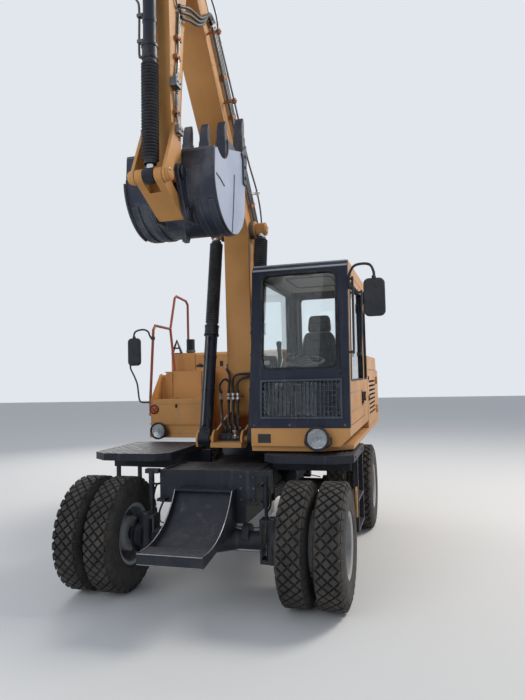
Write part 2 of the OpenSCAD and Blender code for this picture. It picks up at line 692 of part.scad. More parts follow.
// Outline of the door opening, its front edge parallel to the windscreen
module door_outline(g) {
    lean_at = cab_lean * door_top / (cab_top - sill_z);
    polygon([[door_front + g, sill_z + 20 + g], [door_front + lean_at + g, sill_z + door_top - g],
        [door_back - g, sill_z + door_top - g], [door_back - g, sill_z + 20 + g]]);
}
module side_window(w, g) translate([w[0] + g, sill_z + w[2] + g])
    square([w[1] - w[0] - 2 * g, w[3] - w[2] - 2 * g]);
// Cab frame: posts, roof and walls, with the openings of the windows and the door
module cab_frame() color(black) row() {
    for (z = cab_hinges) translate([cab_x1, door_back, z]) hinge_post();
    cab_shell();
}
cab_hinges = [sill_z + 180, sill_z + 1150];
module cab_shell() difference() {
    across(cab_x0, cab_x1) cab_outline(0);
    across(cab_x0 + cab_t, cab_x1 - cab_t) cab_outline(cab_t);
    on_front() for (w = front_windows) pane(w[0], w[1], w[2], w[3], w[4], -60, 120);
    across(cab_x0 - 1, cab_x0 + cab_t + 1) side_window(right_window, 0);
    across(cab_x1 - cab_t - 1, cab_x1 + 1) side_window(quarter_window, 0);
    across(cab_x1 - cab_t - 1, cab_x1 + 1) door_outline(-side_gap);
    translate([0, 0, sill_z]) pane(rear_window[0], rear_window[1], rear_window[2], rear_window[3], 50,
        cab_y1 - cab_t - 1, cab_y1 + 1);
}
// Glass of the fixed windows, set in the middle of the walls
module cab_glass() color(glass, 0.5) row() {
    g = seat_gap;
    mid = (cab_t - glass_t) / 2;
    on_front() for (w = front_windows) pane(w[0] + g, w[1] - g, w[2] + g, w[3] - g, w[4], mid, mid + glass_t);
    across(cab_x0 + mid, cab_x0 + mid + glass_t) side_window(right_window, g);
    across(cab_x1 - mid - glass_t, cab_x1 - mid) side_window(quarter_window, g);
    translate([0, 0, sill_z]) pane(rear_window[0] + g, rear_window[1] - g, rear_window[2] + g,
        rear_window[3] - g, 50, cab_y1 - mid - glass_t, cab_y1 - mid);
}
// Guard over the lower front window: a frame filled with crossed wires
module window_guard() color(steel) row() on_front() translate([0, -12 - seat_gap, 0]) {
    x0 = front_windows[1][0] - 10;
    x1 = front_windows[1][1] + 10;
    z0 = front_windows[1][2] - 15;
    z1 = front_windows[1][3] + 15;
    cols = 20;
    rows = 7;
    wire = 5;
    translate([0, 12, 0]) rotate([90, 0, 0]) linear_extrude(12) difference() {
        translate([x0, z0]) square([x1 - x0, z1 - z0]);
        dx = (x1 - x0 - 24) / cols;
        dz = (z1 - z0 - 24) / rows;
        for (i = [0:cols - 1]) for (k = [0:rows - 1])
            translate([x0 + 12 + i * dx + wire / 2, z0 + 12 + k * dz + wire / 2])
                square([dx - wire, dz - wire]);
    }
}
// Door of the cab with its window, hinged on its rear edge
module cab_door() color(black) row() {
    for (z = cab_hinges) translate([cab_x1, door_back, z]) hinge_eye();
    difference() {
        across(cab_x1 - cab_t, cab_x1) door_outline(0);
        across(cab_x1 - cab_t - 1, cab_x1 + 1) door_glass_outline(0);
    }
}
module door_glass_outline(g) {
    z0 = sill_z + 420;
    z1 = sill_z + door_top - 80;
    k = cab_lean / (cab_top - sill_z);
    polygon([[door_front + 80 + k * 420 + g, z0 + g], [door_front + 80 + k * (door_top - 80) + g, z1 - g],
        [door_back - 80 - g, z1 - g], [door_back - 80 - g, z0 + g]]);
}
module door_glass() color(glass, 0.5) row() {
    mid = (cab_t - glass_t) / 2;
    across(cab_x1 - mid - glass_t, cab_x1 - mid) door_glass_outline(seat_gap);
}

// Seat on its pedestal: cushion, back and headrest
seat_x = cab_x0 + cab_w / 2;
seat_y = cab_y0 + 850;
module seat() color(black) row() translate([seat_x, seat_y, 0]) {
    block([-170, -120, floor_z], [170, 260, floor_z + 330]);
    block([-240, -230, floor_z + 329], [240, 270, floor_z + 450]);
    translate([0, 250, floor_z + 410]) rotate([-10, 0, 0]) block([-220, -50, 0], [220, 70, 500]);
    translate([0, 250, floor_z + 410]) rotate([-10, 0, 0]) block([-130, -20, 499], [130, 60, 690]);
}
// Steering column, wheel and the two lever consoles
module controls() color(black) row() translate([seat_x, seat_y, 0]) {
    block([-60, -660, floor_z], [60, -540, floor_z + 16]);
    bar([0, -600, floor_z + 8], [0, -480, floor_z + 560], 35);
    translate([0, -480, floor_z + 560]) rotate([15, 0, 0]) {
        rotate_extrude() translate([170, 0]) circle(14);
        for (a = [90, 210, 330]) rotate([0, 0, a]) bar([0, 0, -8], [170, 0, 0], 9);
        translate([0, 0, -30]) cylinder(r = 40, h = 40);
    }
    for (s = [-1, 1]) {
        block([s * 330 - 60, -220, floor_z], [s * 330 + 60, 200, floor_z + 500]);
        bar([s * 330, -160, floor_z + 499], [s * 330, -190, floor_z + 700], 20);
    }
}
// Mirrors: a head on an arched arm at each front corner
module mirrors() color(black) row() {
    z1 = cab_top - 150;
    x1 = cab_x1 + 10.6 + seat_gap;
    x3 = cab_x1 + mirror_reach;
    mid = x3 - mirror_w / 2;
    tube([[x1, cab_y0 + 160, z1 - 90], [x1, cab_y0 + 152, z1], [x1 + 60, cab_y0 + 70, z1 + 60],
        [x1 + 170, cab_y0 + 10, z1 + 60], [mid, cab_y0 - 25, z1 - 10], [mid, cab_y0 - 25, z1 - 80]], 10);
    block([x3 - mirror_w, cab_y0 - 45, z1 - 75 - mirror_h], [x3, cab_y0 - 5, z1 - 75]);
    clamp = rail_r + 8;
    difference() {
        bar([rail_at(2380), rail_y, 2380], [rail_at(2420), rail_y, 2420], clamp);
        bar([rail_at(2340), rail_y, 2340], [rail_at(2460), rail_y, 2460], rail_r + seat_gap);
    }
    x2 = rail_at(2400) - clamp - 5;
    x4 = 25 - upper_x - mirror_reach;
    tube([[x2, rail_y, 2400], [x2 - 30, rail_y + 20, 2480], [x4 + 160, rail_y + 50, 2500],
        [x4 + 85, rail_y + 55, 2450], [x4 + 85, rail_y + 55, 2400]], 10);
    block([x4, rail_y + 35, 2415 - mirror_h], [x4 + mirror_w - 15, rail_y + 75, 2415]);
}
// Round work lamps on brackets
module work_lamps() color(steel) row() {
    translate([960, cab_y0 - seat_gap, cab_z + 78]) rotate([90, 0, 0]) lamp(100);
    translate([-1100, box_y - seat_gap, cab_z + 38]) rotate([90, 0, 0]) lamp(90);
}
module lamp(r) rotate_extrude() polygon([[0, 0], [0.35 * r, 0], [0.6 * r, 20], [r, 55], [r, 75], [0, 75]]);

// Valve bank and hose fittings in front of the boom foot
module hose_manifold() color(black) row() {
    block([-115, -1320, deck_top + seat_gap], [115, -1200, deck_top + 70]);
    for (i = [-1.5:1:1.5]) translate([i * 52, -1250, deck_top + 69]) cylinder(r = 15, h = 50);
}

// Boom: box section with an upright lower limb, a bend and a long upper limb
slot_l = 430;
bend_low = [-1010, 3440];
bend_high = [-655, 3720];
module boom_outline() {
    down = along(tip_pin, bend_low, 1);
    u = (bend_low - tip_pin) / norm(bend_low - tip_pin);
    n = [-u[1], u[0]];
    low_tip = tip_pin + 112 * (n[0] < 0 ? n : -n);
    high_tip = tip_pin - 112 * (n[0] < 0 ? n : -n);
    polygon([[-990, 1950], bend_low, low_tip, high_tip, bend_high, [-540, 3200], [-585, 1640], [-850, 1540]]);
    translate(foot_pin) circle(145);
    translate(tip_pin) circle(112);
}
lift_rod_eye = 104;
module boom() color(paint) row() difference() {
    half = boom_w / 2;
    u = (bend_low - tip_pin) / norm(bend_low - tip_pin);
    boss = lift_x - lift_rod_eye / 2 - 4 - seat_gap;
    union() {
        across(-half, half) boom_outline();
        pin(lift_eye, 92, -boss, boss);
        for (s = [-1, 1]) across(s * 60 - 12, s * 60 + 12) link2(crowd_foot, 70, [-740, 3840], 150);
        pin(crowd_foot, 30, -80, 80);
    }
    pin(foot_pin, foot_pin_r + pin_gap, -half - 1, half + 1);
    pin(tip_pin, tip_pin_r + pin_gap, -half - 1, half + 1);
    translate([0, tip_pin[0], tip_pin[1]]) rotate([atan2(u[1], u[0]), 0, 0])
        translate([-arm_w / 2 - side_gap, -400, -700]) cube([arm_w + 2 * side_gap, 400 + slot_l, 1400]);
}
// Steel pipes along the boom's left side, held by clamps
pipe_r = 13;
function pipe_foot(k) = foot_pin + [45 * k - 65, 700];
function pipe_bend(k) = [pipe_foot(k)[0], bend_low[1] + 90 + 20 * k];
function pipe_end(k) = tip_pin + [515 + 32 * k, 24 * k - 513];
module boom_pipes() color(black) row() {
    clamp_t = 16;
    x = boom_w / 2 + clamp_t + pipe_r + 2 * seat_gap;
    for (k = [0:2]) tube([for (p = [pipe_foot(k), pipe_bend(k), pipe_end(k)]) [x, p[0], p[1]]], pipe_r, 2);
    pipe_clamps(pipe_foot(1), pipe_bend(1), [0.16, 0.76], clamp_t);
    pipe_clamps(pipe_bend(1), pipe_end(1), [0.38, 0.78], clamp_t);
}
// Clamps under the pipes at shares of the way from a to b
module pipe_clamps(a, b, shares, t) for (f = shares)
    translate([boom_w / 2 + seat_gap, a[0] + f * (b[0] - a[0]), a[1] + f * (b[1] - a[1])])
        rotate([atan2(a[0] - b[0], b[1] - a[1]), 0, 0]) block([0, -75, -25], [t, 75, 25]);

// A cylinder barrel along its own Z from the foot pin: eye with its bore, neck, tube and gland
module barrel(r, eye_r, eye_w, pin_r, l) difference() {
    union() {
        rotate([0, 90, 0]) cylinder(r = eye_r, h = eye_w, center = true);
        block([-eye_w / 2, -0.7 * r, 0], [eye_w / 2, 0.7 * r, eye_r + 30]);
        translate([0, 0, eye_r + 20]) cylinder(r = r, h = l - eye_r - 20);
        translate([0, 0, l - 110]) cylinder(r = r + 8, h = 110);
    }
    rotate([0, 90, 0]) cylinder(r = pin_r + pin_gap, h = eye_w + 2, center = true);
    translate([0, 0, eye_r + 60]) cylinder(r = 0.62 * r + pin_gap, h = l);
}
// A cylinder rod along its own Z, from inside the barrel to the eye at length l, with its pin's ends
module piston(r, eye_r, eye_w, pin_r, from, l) {
    translate([0, 0, from]) cylinder(r = 0.62 * r, h = l - from);
    translate([0, 0, l]) rotate([0, 90, 0]) cylinder(r = eye_r, h = eye_w, center = true);
    translate([0, 0, l]) rotate([0, 90, 0]) cylinder(r = pin_r, h = eye_w + 8, center = true);
}
// Turns +Z to the direction from pin a to pin b in the (Y, Z) plane
module aim(a, b, x) translate([x, a[0], a[1]]) rotate([atan2(-(b[0] - a[0]), b[1] - a[1]), 0, 0]) children();

// Lengths of the three kinds of cylinder: barrel, and pin to pin as they stand
lift_len = norm(lift_eye - lift_foot);
crowd_len = norm(lever_pin - crowd_foot);
curl_len = norm(link_pin - curl_foot);
lift_barrel_l = 1190;
crowd_barrel_l = 1840;
curl_barrel_l = 1050;
module lift_barrels() color(black) row() for (s = [-1, 1])
    aim(lift_foot, lift_eye, s * lift_x) barrel(lift_r, 72, lift_eye_w, lift_pin_r, lift_barrel_l);
module lift_rods() color(steel) row() for (s = [-1, 1])
    aim(lift_foot, lift_eye, s * lift_x)
        piston(lift_r, 68, lift_rod_eye, lift_pin_r, lift_barrel_l - 90, lift_len);
// Rubber boots over the rods
module gaiter(r, from, to) difference() {
    translate([0, 0, from]) cylinder(r = r, h = to - from);
    translate([0, 0, from - 1]) cylinder(r = r - 14, h = to - from + 2);
}
module lift_gaiters() color(rubber) row() for (s = [-1, 1])
    aim(lift_foot, lift_eye, s * lift_x) gaiter(66, lift_barrel_l + seat_gap, lift_len - 97);

// Arm: a box section from the lever end to the bucket pin, with its bosses
module arm_outline() {
    polygon([lever_pin + [-78, -10], tip_pin + [-272, -1090], bucket_pin + [-112, 510],
        bucket_pin + [-70, 90], bucket_pin + [-70, 0], bucket_pin + [70, 0], bucket_pin + [86, 499],
        tip_pin + [10, -870], tip_pin + [128, -170], tip_pin + [135, 30],
        tip_pin + [60, 140], lever_pin + [70, 20]]);
    translate(lever_pin) circle(78);
    translate(tip_pin) circle(135);
    translate(bucket_pin) circle(70);
}
module arm() color(paint) row() difference() {
    half = arm_w / 2;
    union() {
        across(-half, half) arm_outline();
        for (s = [-1, 1]) across(s * 62 - 12, s * 62 + 12) link2(curl_foot, 62, curl_foot + [170, 0], 90);
        pin(tip_pin, tip_pin_r, -boom_w / 2, boom_w / 2);
        pin(curl_foot, link_pin_r, -80, 80);
    }
    // Slot in which the arm cylinder's rod end moves, laid out along the rod
    d = crowd_foot - lever_pin;
    translate([0, lever_pin[0], lever_pin[1]]) rotate([atan2(d[1], d[0]), 0, 0]) {
        block([-54, -150, -140], [54, 330, 300]);
        block([-54, 329, -48], [54, 480, 300]);
    }
    pin(rocker_pin, link_pin_r + pin_gap, -half - 1, half + 1);
    pin(bucket_pin, link_pin_r + pin_gap, -half - 1, half + 1);
}
module crowd_barrel() color(black) row()
    aim(crowd_foot, lever_pin, 0) barrel(crowd_r, 66, 84, 30, crowd_barrel_l);
module crowd_rod() color(steel) row()
    aim(crowd_foot, lever_pin, 0) piston(crowd_r, 60, 92, 30, crowd_barrel_l - 90, crowd_len);
module curl_barrel() color(black) row()
    aim(curl_foot, link_pin, 0) barrel(curl_r, 58, 88, link_pin_r, curl_barrel_l);
module curl_rod() color(steel) row()
    aim(curl_foot, link_pin, 0) piston(curl_r, 55, 76, link_pin_r, curl_barrel_l - 90, curl_len);
module curl_gaiter() color(rubber) row()
    aim(curl_foot, link_pin, 0) gaiter(60, curl_barrel_l + seat_gap, curl_len - 85);

// Side-by-side places of the link work, from the middle outwards
fork_in = 48;
fork_out = arm_w / 2 - 2;
rocker_in = arm_w / 2 + 3;
rocker_out = rocker_in + 25;
ear_in = arm_w / 2 + side_gap;
ear_out = ear_in + 30;
// Rockers: one plate each side of the arm, joined by the pivot pin
module rockers() color(paint) row() {
    for (s = [-1, 1]) {
        x0 = s > 0 ? rocker_in : -rocker_out;
        across(x0, x0 + rocker_out - rocker_in) link2(rocker_pin, 60, link_pin, 55);
        p0 = s > 0 ? fork_in : -rocker_out - 12;
        pin(link_pin, link_pin_r, p0, p0 + rocker_out + 12 - fork_in);
        q0 = s > 0 ? rocker_out - 1 : -rocker_out - 20;
        pin(link_pin, 50, q0, q0 + 21);
    }
    pin(rocker_pin, link_pin_r, -rocker_out - 8, rocker_out + 8);
}
// Push link from the rockers to the bucket's ears
module push_link() color(paint) row() difference() {
    across(-fork_out, fork_out) link2(link_pin, 55, ear_pin, 46);
    block([-fork_in, link_pin[0] - 150, link_pin[1] - 100], [fork_in, link_pin[0] + 120, link_pin[1] + 130]);
    pin(link_pin, link_pin_r + pin_gap, -200, 200);
}
// Bucket: rolled shell, side plates with a scooped edge, ears, lip and teeth
shell_c = [-2285, 3505];
shell_r = 392;
lip = [-1870, 3960];
heel = [-2660, 3700];
module bucket_region(t) {
    r = shell_r - t;
    translate(shell_c) circle(r, $fn = 96);
    polygon([shell_c - [r, 0], heel + [t, 0], lip - [t, 0], shell_c + [r, 0]]);
}
module bucket() color(black) row() {
    half = bucket_w / 2;
    difference() {
        union() {
            across(-half, half) difference() {
                bucket_region(0);
                bucket_region(bucket_t);
                polygon([heel + [bucket_t, 400], heel + [bucket_t, -100], lip + [-bucket_t, -100],
                    lip + [-bucket_t, 400]]);
            }
            for (x = [-half, half - 20]) across(x, x + 20) difference() {
                bucket_region(0);
                translate([-2490, 3850]) circle(170);
            }
            for (s = [-1, 1]) {
                x0 = s > 0 ? ear_in : -ear_out;
                across(x0, x0 + ear_out - ear_in) ear_outline();
            }
            across(-18, 18) polygon([[-2290, shell_c[1] - shell_r + 6], [-2335, 3050], [-2400, 3050],
                [-2440, 3160]]);
            across(-half, half) polygon([lip, lip + [-30, 0], lip + [-42, -110], lip + [-15, -110]]);
        }
        pin([-2370, 3085], 14, -30, 30);
    }
    pin(bucket_pin, link_pin_r, -ear_out - 8, ear_out + 8);
    for (s = [-1, 1])
        pin(ear_pin, 45, s > 0 ? ear_out - 1 : -ear_out - 12, s > 0 ? ear_out + 12 : 1 - ear_out);
    pitch = (bucket_w - 90) / (teeth - 1);
    for (i = [0:teeth - 1]) translate([-half + 45 + i * pitch, 0, 0]) tooth();
}
module ear_outline() difference() {
    union() {
        link2(bucket_pin, 75, ear_pin, 62);
        polygon([bucket_pin + [8, 74], bucket_pin, ear_pin,
            ear_pin + [-10, -61], ear_pin + [150, -50], shell_c]);
    }
    translate(shell_c) circle(shell_r - 8, $fn = 96);
}
module tooth() across(-34, 34)
    polygon([lip + [-52, -90], lip + [-40, 60], lip + [0, 320],
        lip + [12, 320], lip + [8, 60], lip + [0, -90]]);

chassis_frame();
pedestal();
outriggers();
boarding_step();
side_platforms();
ladders();
front_axle();
rear_axle();
lock_cylinders();
driveline();
slew_ring();
knuckle_left();
knuckle_right();
tie_rod();
tyres_front_left();
tyres_front_right();
tyres_rear_left();
tyres_rear_right();
hub_front_left();
hub_front_right();
hub_rear_left();
hub_rear_right();
upper_frame();
counterweight();
engine_block();
housing();
engine_hood();
pump_door();
radiator_door();
fuel_tank();
tool_box();
tool_box_lid();
handrails();
exhaust();
cab_base();
cab_frame();
cab_glass();
window_guard();
cab_door();
door_glass();
seat();
controls();
mirrors();
work_lamps();
hose_manifold();
boom();
boom_pipes();
lift_barrels();
lift_rods();
lift_gaiters();
arm();
crowd_barrel();
crowd_rod();
curl_barrel();
curl_rod();
curl_gaiter();
rockers();
push_link();
bucket();
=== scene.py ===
"""Looks of the wheeled excavator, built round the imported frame. Lengths in the helpers are machine millimetres:
X to the machine's left, Y to its rear from the swing axis, Z up from the ground."""

from math import atan2, cos, dist, exp, pi, radians, sin, sqrt, tan, tau

import bmesh
import bpy
from mathutils import Matrix, Vector


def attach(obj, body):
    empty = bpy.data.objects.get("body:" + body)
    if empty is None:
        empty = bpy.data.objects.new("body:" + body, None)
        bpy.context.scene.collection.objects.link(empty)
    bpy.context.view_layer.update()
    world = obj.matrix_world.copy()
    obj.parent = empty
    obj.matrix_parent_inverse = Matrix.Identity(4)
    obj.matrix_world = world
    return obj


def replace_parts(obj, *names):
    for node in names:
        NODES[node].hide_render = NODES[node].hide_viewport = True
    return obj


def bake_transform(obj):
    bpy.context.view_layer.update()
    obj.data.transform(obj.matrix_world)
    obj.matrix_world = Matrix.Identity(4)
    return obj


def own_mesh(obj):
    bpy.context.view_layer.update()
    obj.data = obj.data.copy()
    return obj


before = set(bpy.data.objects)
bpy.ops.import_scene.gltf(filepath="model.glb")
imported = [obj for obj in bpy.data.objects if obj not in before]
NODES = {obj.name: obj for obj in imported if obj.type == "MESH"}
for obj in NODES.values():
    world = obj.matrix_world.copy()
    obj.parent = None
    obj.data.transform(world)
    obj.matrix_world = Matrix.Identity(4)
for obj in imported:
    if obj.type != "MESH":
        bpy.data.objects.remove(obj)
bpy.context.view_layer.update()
ROW_Y = 469.5  # shift from the swing axis to the middle of the machine's length

# Sizes that the pieces share with the frame
AXLE_Z, FRONT_Y, REAR_Y, PAIR_X, TWIN, KINGPIN_X = 510, -2000, 550, 980, 150, 600
TYRE_R, TYRE_H, RIM_R = 510, 125, 254
FOOT, TIP, LIFT_FOOT, LIFT_EYE, LIFT_X = (-720, 1600), (-2590, 5590), (-1365, 1300), (-900, 3500), (-255, 255)
CROWD_FOOT, LEVER, CURL_FOOT = (-760, 4020), (-2821.3, 6100), (-2960, 5330)
BUCKET_PIN, ROCKER_PIN, LINK_PIN, EAR_PIN = (-2760, 3490), (-2800, 3810), (-3000, 3400), (-2640, 3210)
CAB_X0, CAB_X1, CAB_Y0, CAB_Y1 = 335, 1245, -1725, 30
SILL, CAB_TOP, LEAN = 1439.3, 2970.3, 160
FLOOR_IN = SILL + 45.3
SEAT_X, SEAT_Y = 790, -875
MANIFOLD_X, EXHAUST, TANK_CAP, RAIL_FOOT = (-78, -26, 26, 78), (-1080, 250), (-777, -170), (-1190, 430)
X, Y, Z, FORE = (1, 0, 0), (0, 1, 0), (0, 0, 1), (0, -1, 0)


def M(p):
    """Machine millimetres to the row frame's metres."""
    return Vector((p[0] / 1000, (p[1] + ROW_Y) / 1000, p[2] / 1000))


def front_at(z):
    """Place of the cab's leaning front at a height."""
    return CAB_Y0 + LEAN * (z - SILL) / (CAB_TOP - SILL)


# Materials
def put(tree, socket, value):
    """Links an output to a socket, or sets a constant on the socket itself."""
    if isinstance(value, bpy.types.NodeSocket):
        tree.links.new(value, socket)
    else:
        socket.default_value = (*value, 1) if socket.type == "RGBA" else value


def node(tree, kind, inputs=None, **settings):
    """A new shader node's outputs, its inputs and settings being given."""
    new = tree.nodes.new("ShaderNode" + kind)
    for key, value in settings.items():
        setattr(new, key, value)
    for key, value in (inputs or {}).items():
        put(tree, new.inputs[key], value)
    return new.outputs


class Shader:
    """A material's nodes, with short calls for the few kinds used here."""

    def __init__(self, name, rough=0.5, metal=0.0, colour=(0.5, 0.5, 0.5)):
        self.mat = bpy.data.materials.new(name)
        self.mat.use_nodes = True
        self.tree = self.mat.node_tree
        self.set(Roughness=rough, Metallic=metal, Base_Color=colour)
        self.coord = self.node("TexCoord")["Object"]

    def set(self, **sockets):
        for key, value in sockets.items():
            put(self.tree, self.tree.nodes["Principled BSDF"].inputs[key.replace("_", " ")], value)

    def node(self, kind, inputs=None, **settings):
        return node(self.tree, kind, inputs, **settings)

    def noise(self, scale, detail=4.0, rough=0.55, stretch=None):
        place = self.coord
        if stretch:
            place = self.node("Mapping", {"Scale": stretch, "Vector": place})["Vector"]
        return self.node("TexNoise", {"Scale": scale, "Detail": detail, "Roughness": rough, "Vector": place})["Fac"]

    def cells(self, scale, feature="F1"):
        return self.node("TexVoronoi", {"Scale": scale, "Vector": self.coord}, feature=feature)["Distance"]

    def wave(self, scale, axis="X"):
        return self.node("TexWave", {"Scale": scale, "Vector": self.coord}, bands_direction=axis)["Fac"]

    def ramp(self, source, low, high, a=0.0, b=1.0):
        ends = {"From Min": low, "From Max": high, "To Min": a, "To Max": b}
        return self.node("MapRange", {"Value": source, **ends})["Result"]

    def patches(self, scale, detail, low, high, a=0.0, b=1.0, rough=0.55, stretch=None):
        """Noise that goes from a to b where it passes from low to high."""
        return self.ramp(self.noise(scale, detail, rough, stretch), low, high, a, b)

    def calc(self, kind, a, b=0.0):
        return self.node("Math", {0: a, 1: b}, operation=kind)["Value"]

    def times(self, a, b):
        return self.calc("MULTIPLY", a, b)

    def most(self, a, b):
        return self.calc("MAXIMUM", a, b)

    def mix(self, fac, a, b):
        return self.node("Mix", {0: fac, 6: a, 7: b}, data_type="RGBA")[2]

    def bump(self, height, strength, distance):
        sockets = {"Strength": strength, "Distance": distance, "Height": height}
        self.set(Normal=self.node("Bump", sockets)["Normal"])

    def place(self, axis):
        return self.node("SeparateXYZ", {0: self.coord})[axis]

    def facing(self, axis):
        """How far the surface faces along an axis, from -1 to 1."""
        return self.node("SeparateXYZ", {0: self.node("NewGeometry")["Normal"]})[axis]

    def edge(self, radius=0.006):
        """1 where the surface bends sharply within the radius."""
        bevel = self.node("Bevel", {"Radius": radius}, samples=4)["Normal"]
        flat = self.node("NewGeometry")["Normal"]
        return self.ramp(self.node("VectorMath", {0: bevel, 1: flat}, operation="DOT_PRODUCT")["Value"], 0.99, 0.86)


RAIN = (3.0, 3.0, 0.35)  # noise stretched down the walls
FRONT_STRIP, SKIN = 62, 4  # the cab's dark strip behind its front, and how deep its outer paint reaches


def painted(name, base, deep, chip, dust=(0.30, 0.24, 0.17), gloss=0.38, wear=0.5, dusty=0.35, low_dirt=0.5):
    """Weathered paint: two tones, rain streaks, dust on top and low down, chips along the edges."""
    s = Shader(name)
    tone = s.mix(s.patches(1.7, 3, 0.38, 0.66), base, deep)
    tone = s.mix(s.patches(5.0, 5, 0.56, 0.78, 0.0, 0.40, 0.6, RAIN), tone, dust)
    lying = s.times(s.ramp(s.facing("Z"), 0.45, 0.95), s.patches(9.0, 6, 0.30, 0.72, 0.25, 1.0, 0.6))
    low = s.times(s.ramp(s.place("Z"), 1.5, 0.1), s.patches(6.0, 6, 0.35, 0.7, rough=0.62))
    film = s.most(s.times(lying, dusty), s.times(low, low_dirt))
    tone = s.mix(film, tone, dust)
    worn = s.times(s.edge(), s.patches(34.0, 4, 0.48, 0.60, 0.0, wear, 0.7))
    spots = s.times(s.ramp(s.cells(15.0), 0.055, 0.035, 0.0, wear * 0.8), s.patches(2.3, 2, 0.55, 0.62))
    worn = s.most(worn, spots)
    rough = s.calc("ADD", s.patches(14.0, 4, 0.3, 0.7, gloss - 0.07, gloss + 0.09), s.times(film, 0.35))
    s.set(Base_Color=s.mix(worn, tone, chip), Roughness=rough, Specular_IOR_Level=0.35)
    s.bump(s.calc("ADD", s.times(s.noise(260.0, 2), 0.25), s.times(worn, -0.8)), 0.22, 0.0012)
    return s.mat


def metal(name, colour, rough, dirt=0.35):
    """Brushed metal with scratches along Z and dull dirt."""
    s = Shader(name, metal=1.0)
    dirty = s.patches(7.0, 6, 0.45, 0.75, 0.0, dirt, 0.65)
    lines = s.noise(60.0, 3, 0.6, (1.0, 1.0, 0.05))
    shine = s.calc("ADD", s.ramp(lines, 0.3, 0.7, rough - 0.06, rough + 0.08), s.times(dirty, 0.5))
    s.set(Base_Color=s.mix(dirty, colour, (0.05, 0.042, 0.035)), Roughness=shine)
    s.bump(lines, 0.10, 0.0006)
    return s.mat


def moulded(name, colour, rough, grain=320.0, dust=0.25, dust_colour=(0.20, 0.17, 0.14)):
    """Grained plastic or rubber with a film of dust."""
    s = Shader(name)
    film = s.patches(8.0, 6, 0.42, 0.75, 0.0, dust, 0.6)
    s.set(Base_Color=s.mix(film, colour, dust_colour))
    s.set(Roughness=s.patches(20.0, 3, 0.3, 0.7, rough - 0.08, rough + 0.1))
    s.bump(s.cells(grain), 0.35, 0.0006)
    return s.mat


def lens(name, colour, rough, ribs):
    s = Shader(name, rough, 0.0, colour)
    s.set(Transmission_Weight=1.0, IOR=1.46)
    s.bump(s.wave(ribs), 0.5, 0.002)
    return s.mat


def tyre_rubber(name):
    """Dusty rubber: brown film in the tread and on the shoulders, fine cracks on the walls."""
    s = Shader(name, 0.85)
    film = s.patches(7.0, 6, 0.36, 0.70, 0.10, 0.75, 0.65)
    s.set(Base_Color=s.mix(film, (0.018, 0.018, 0.019), (0.082, 0.070, 0.058)))
    s.set(Roughness=s.patches(30.0, 4, 0.3, 0.7, 0.70, 0.95))
    s.bump(s.calc("ADD", s.noise(120.0, 5), s.times(s.cells(60.0, "DISTANCE_TO_EDGE"), 0.4)), 0.4, 0.002)
    return s.mat


def boot_rubber(name):
    s = Shader(name, 0.6)
    film = s.patches(12.0, 6, 0.42, 0.74, 0.0, 0.35, 0.6, (1.0, 1.0, 0.4))
    s.set(Base_Color=s.mix(film, (0.014, 0.016, 0.022), (0.11, 0.095, 0.08)))
    s.set(Roughness=s.patches(30.0, 3, 0.3, 0.7, 0.5, 0.72))
    s.bump(s.noise(220.0, 3), 0.3, 0.001)
    return s.mat


def woven(name):
    """Black seat cloth with a fine weave."""
    s = Shader(name, 0.9)
    weave = s.times(s.wave(180.0, "X"), s.wave(180.0, "Z"))
    s.set(Base_Color=s.mix(s.patches(9.0, 4, 0.4, 0.7), (0.007, 0.0075, 0.009), (0.020, 0.020, 0.022)))
    s.set(Sheen_Weight=0.35, Sheen_Roughness=0.5)
    s.bump(s.calc("ADD", weave, s.noise(70.0, 3)), 0.4, 0.0008)
    return s.mat


def window_glass(name):
    s = Shader(name, 0.02, 0.0, (0.90, 0.95, 0.95))
    s.set(Transmission_Weight=1.0, IOR=1.30)
    s.set(Roughness=s.patches(5.0, 5, 0.5, 0.8, 0.003, 0.03, 0.65))
    return s.mat


def bucket_steel(name):
    """Navy paint, worn to pale steel in patches and along the edges."""
    s = Shader(name)
    tone = s.mix(s.patches(2.5, 4, 0.4, 0.66), (0.016, 0.022, 0.040), (0.030, 0.038, 0.060))
    rub = s.patches(4.0, 6, 0.52, 0.72, 0.0, 0.40, 0.62, (1.0, 1.0, 0.6))
    rub = s.most(rub, s.times(s.edge(0.010), 0.8))
    tone = s.mix(rub, tone, (0.24, 0.235, 0.23))
    dusty = s.times(s.ramp(s.facing("Z"), 0.1, 0.9), s.patches(6.0, 6, 0.4, 0.7, 0.1, 0.6, 0.6))
    s.set(Base_Color=s.mix(dusty, tone, (0.24, 0.19, 0.14)), Metallic=s.times(rub, 0.6))
    s.set(Roughness=s.patches(18.0, 4, 0.3, 0.7, 0.38, 0.6))
    s.bump(s.noise(45.0, 6, 0.7), 0.25, 0.002)
    return s.mat


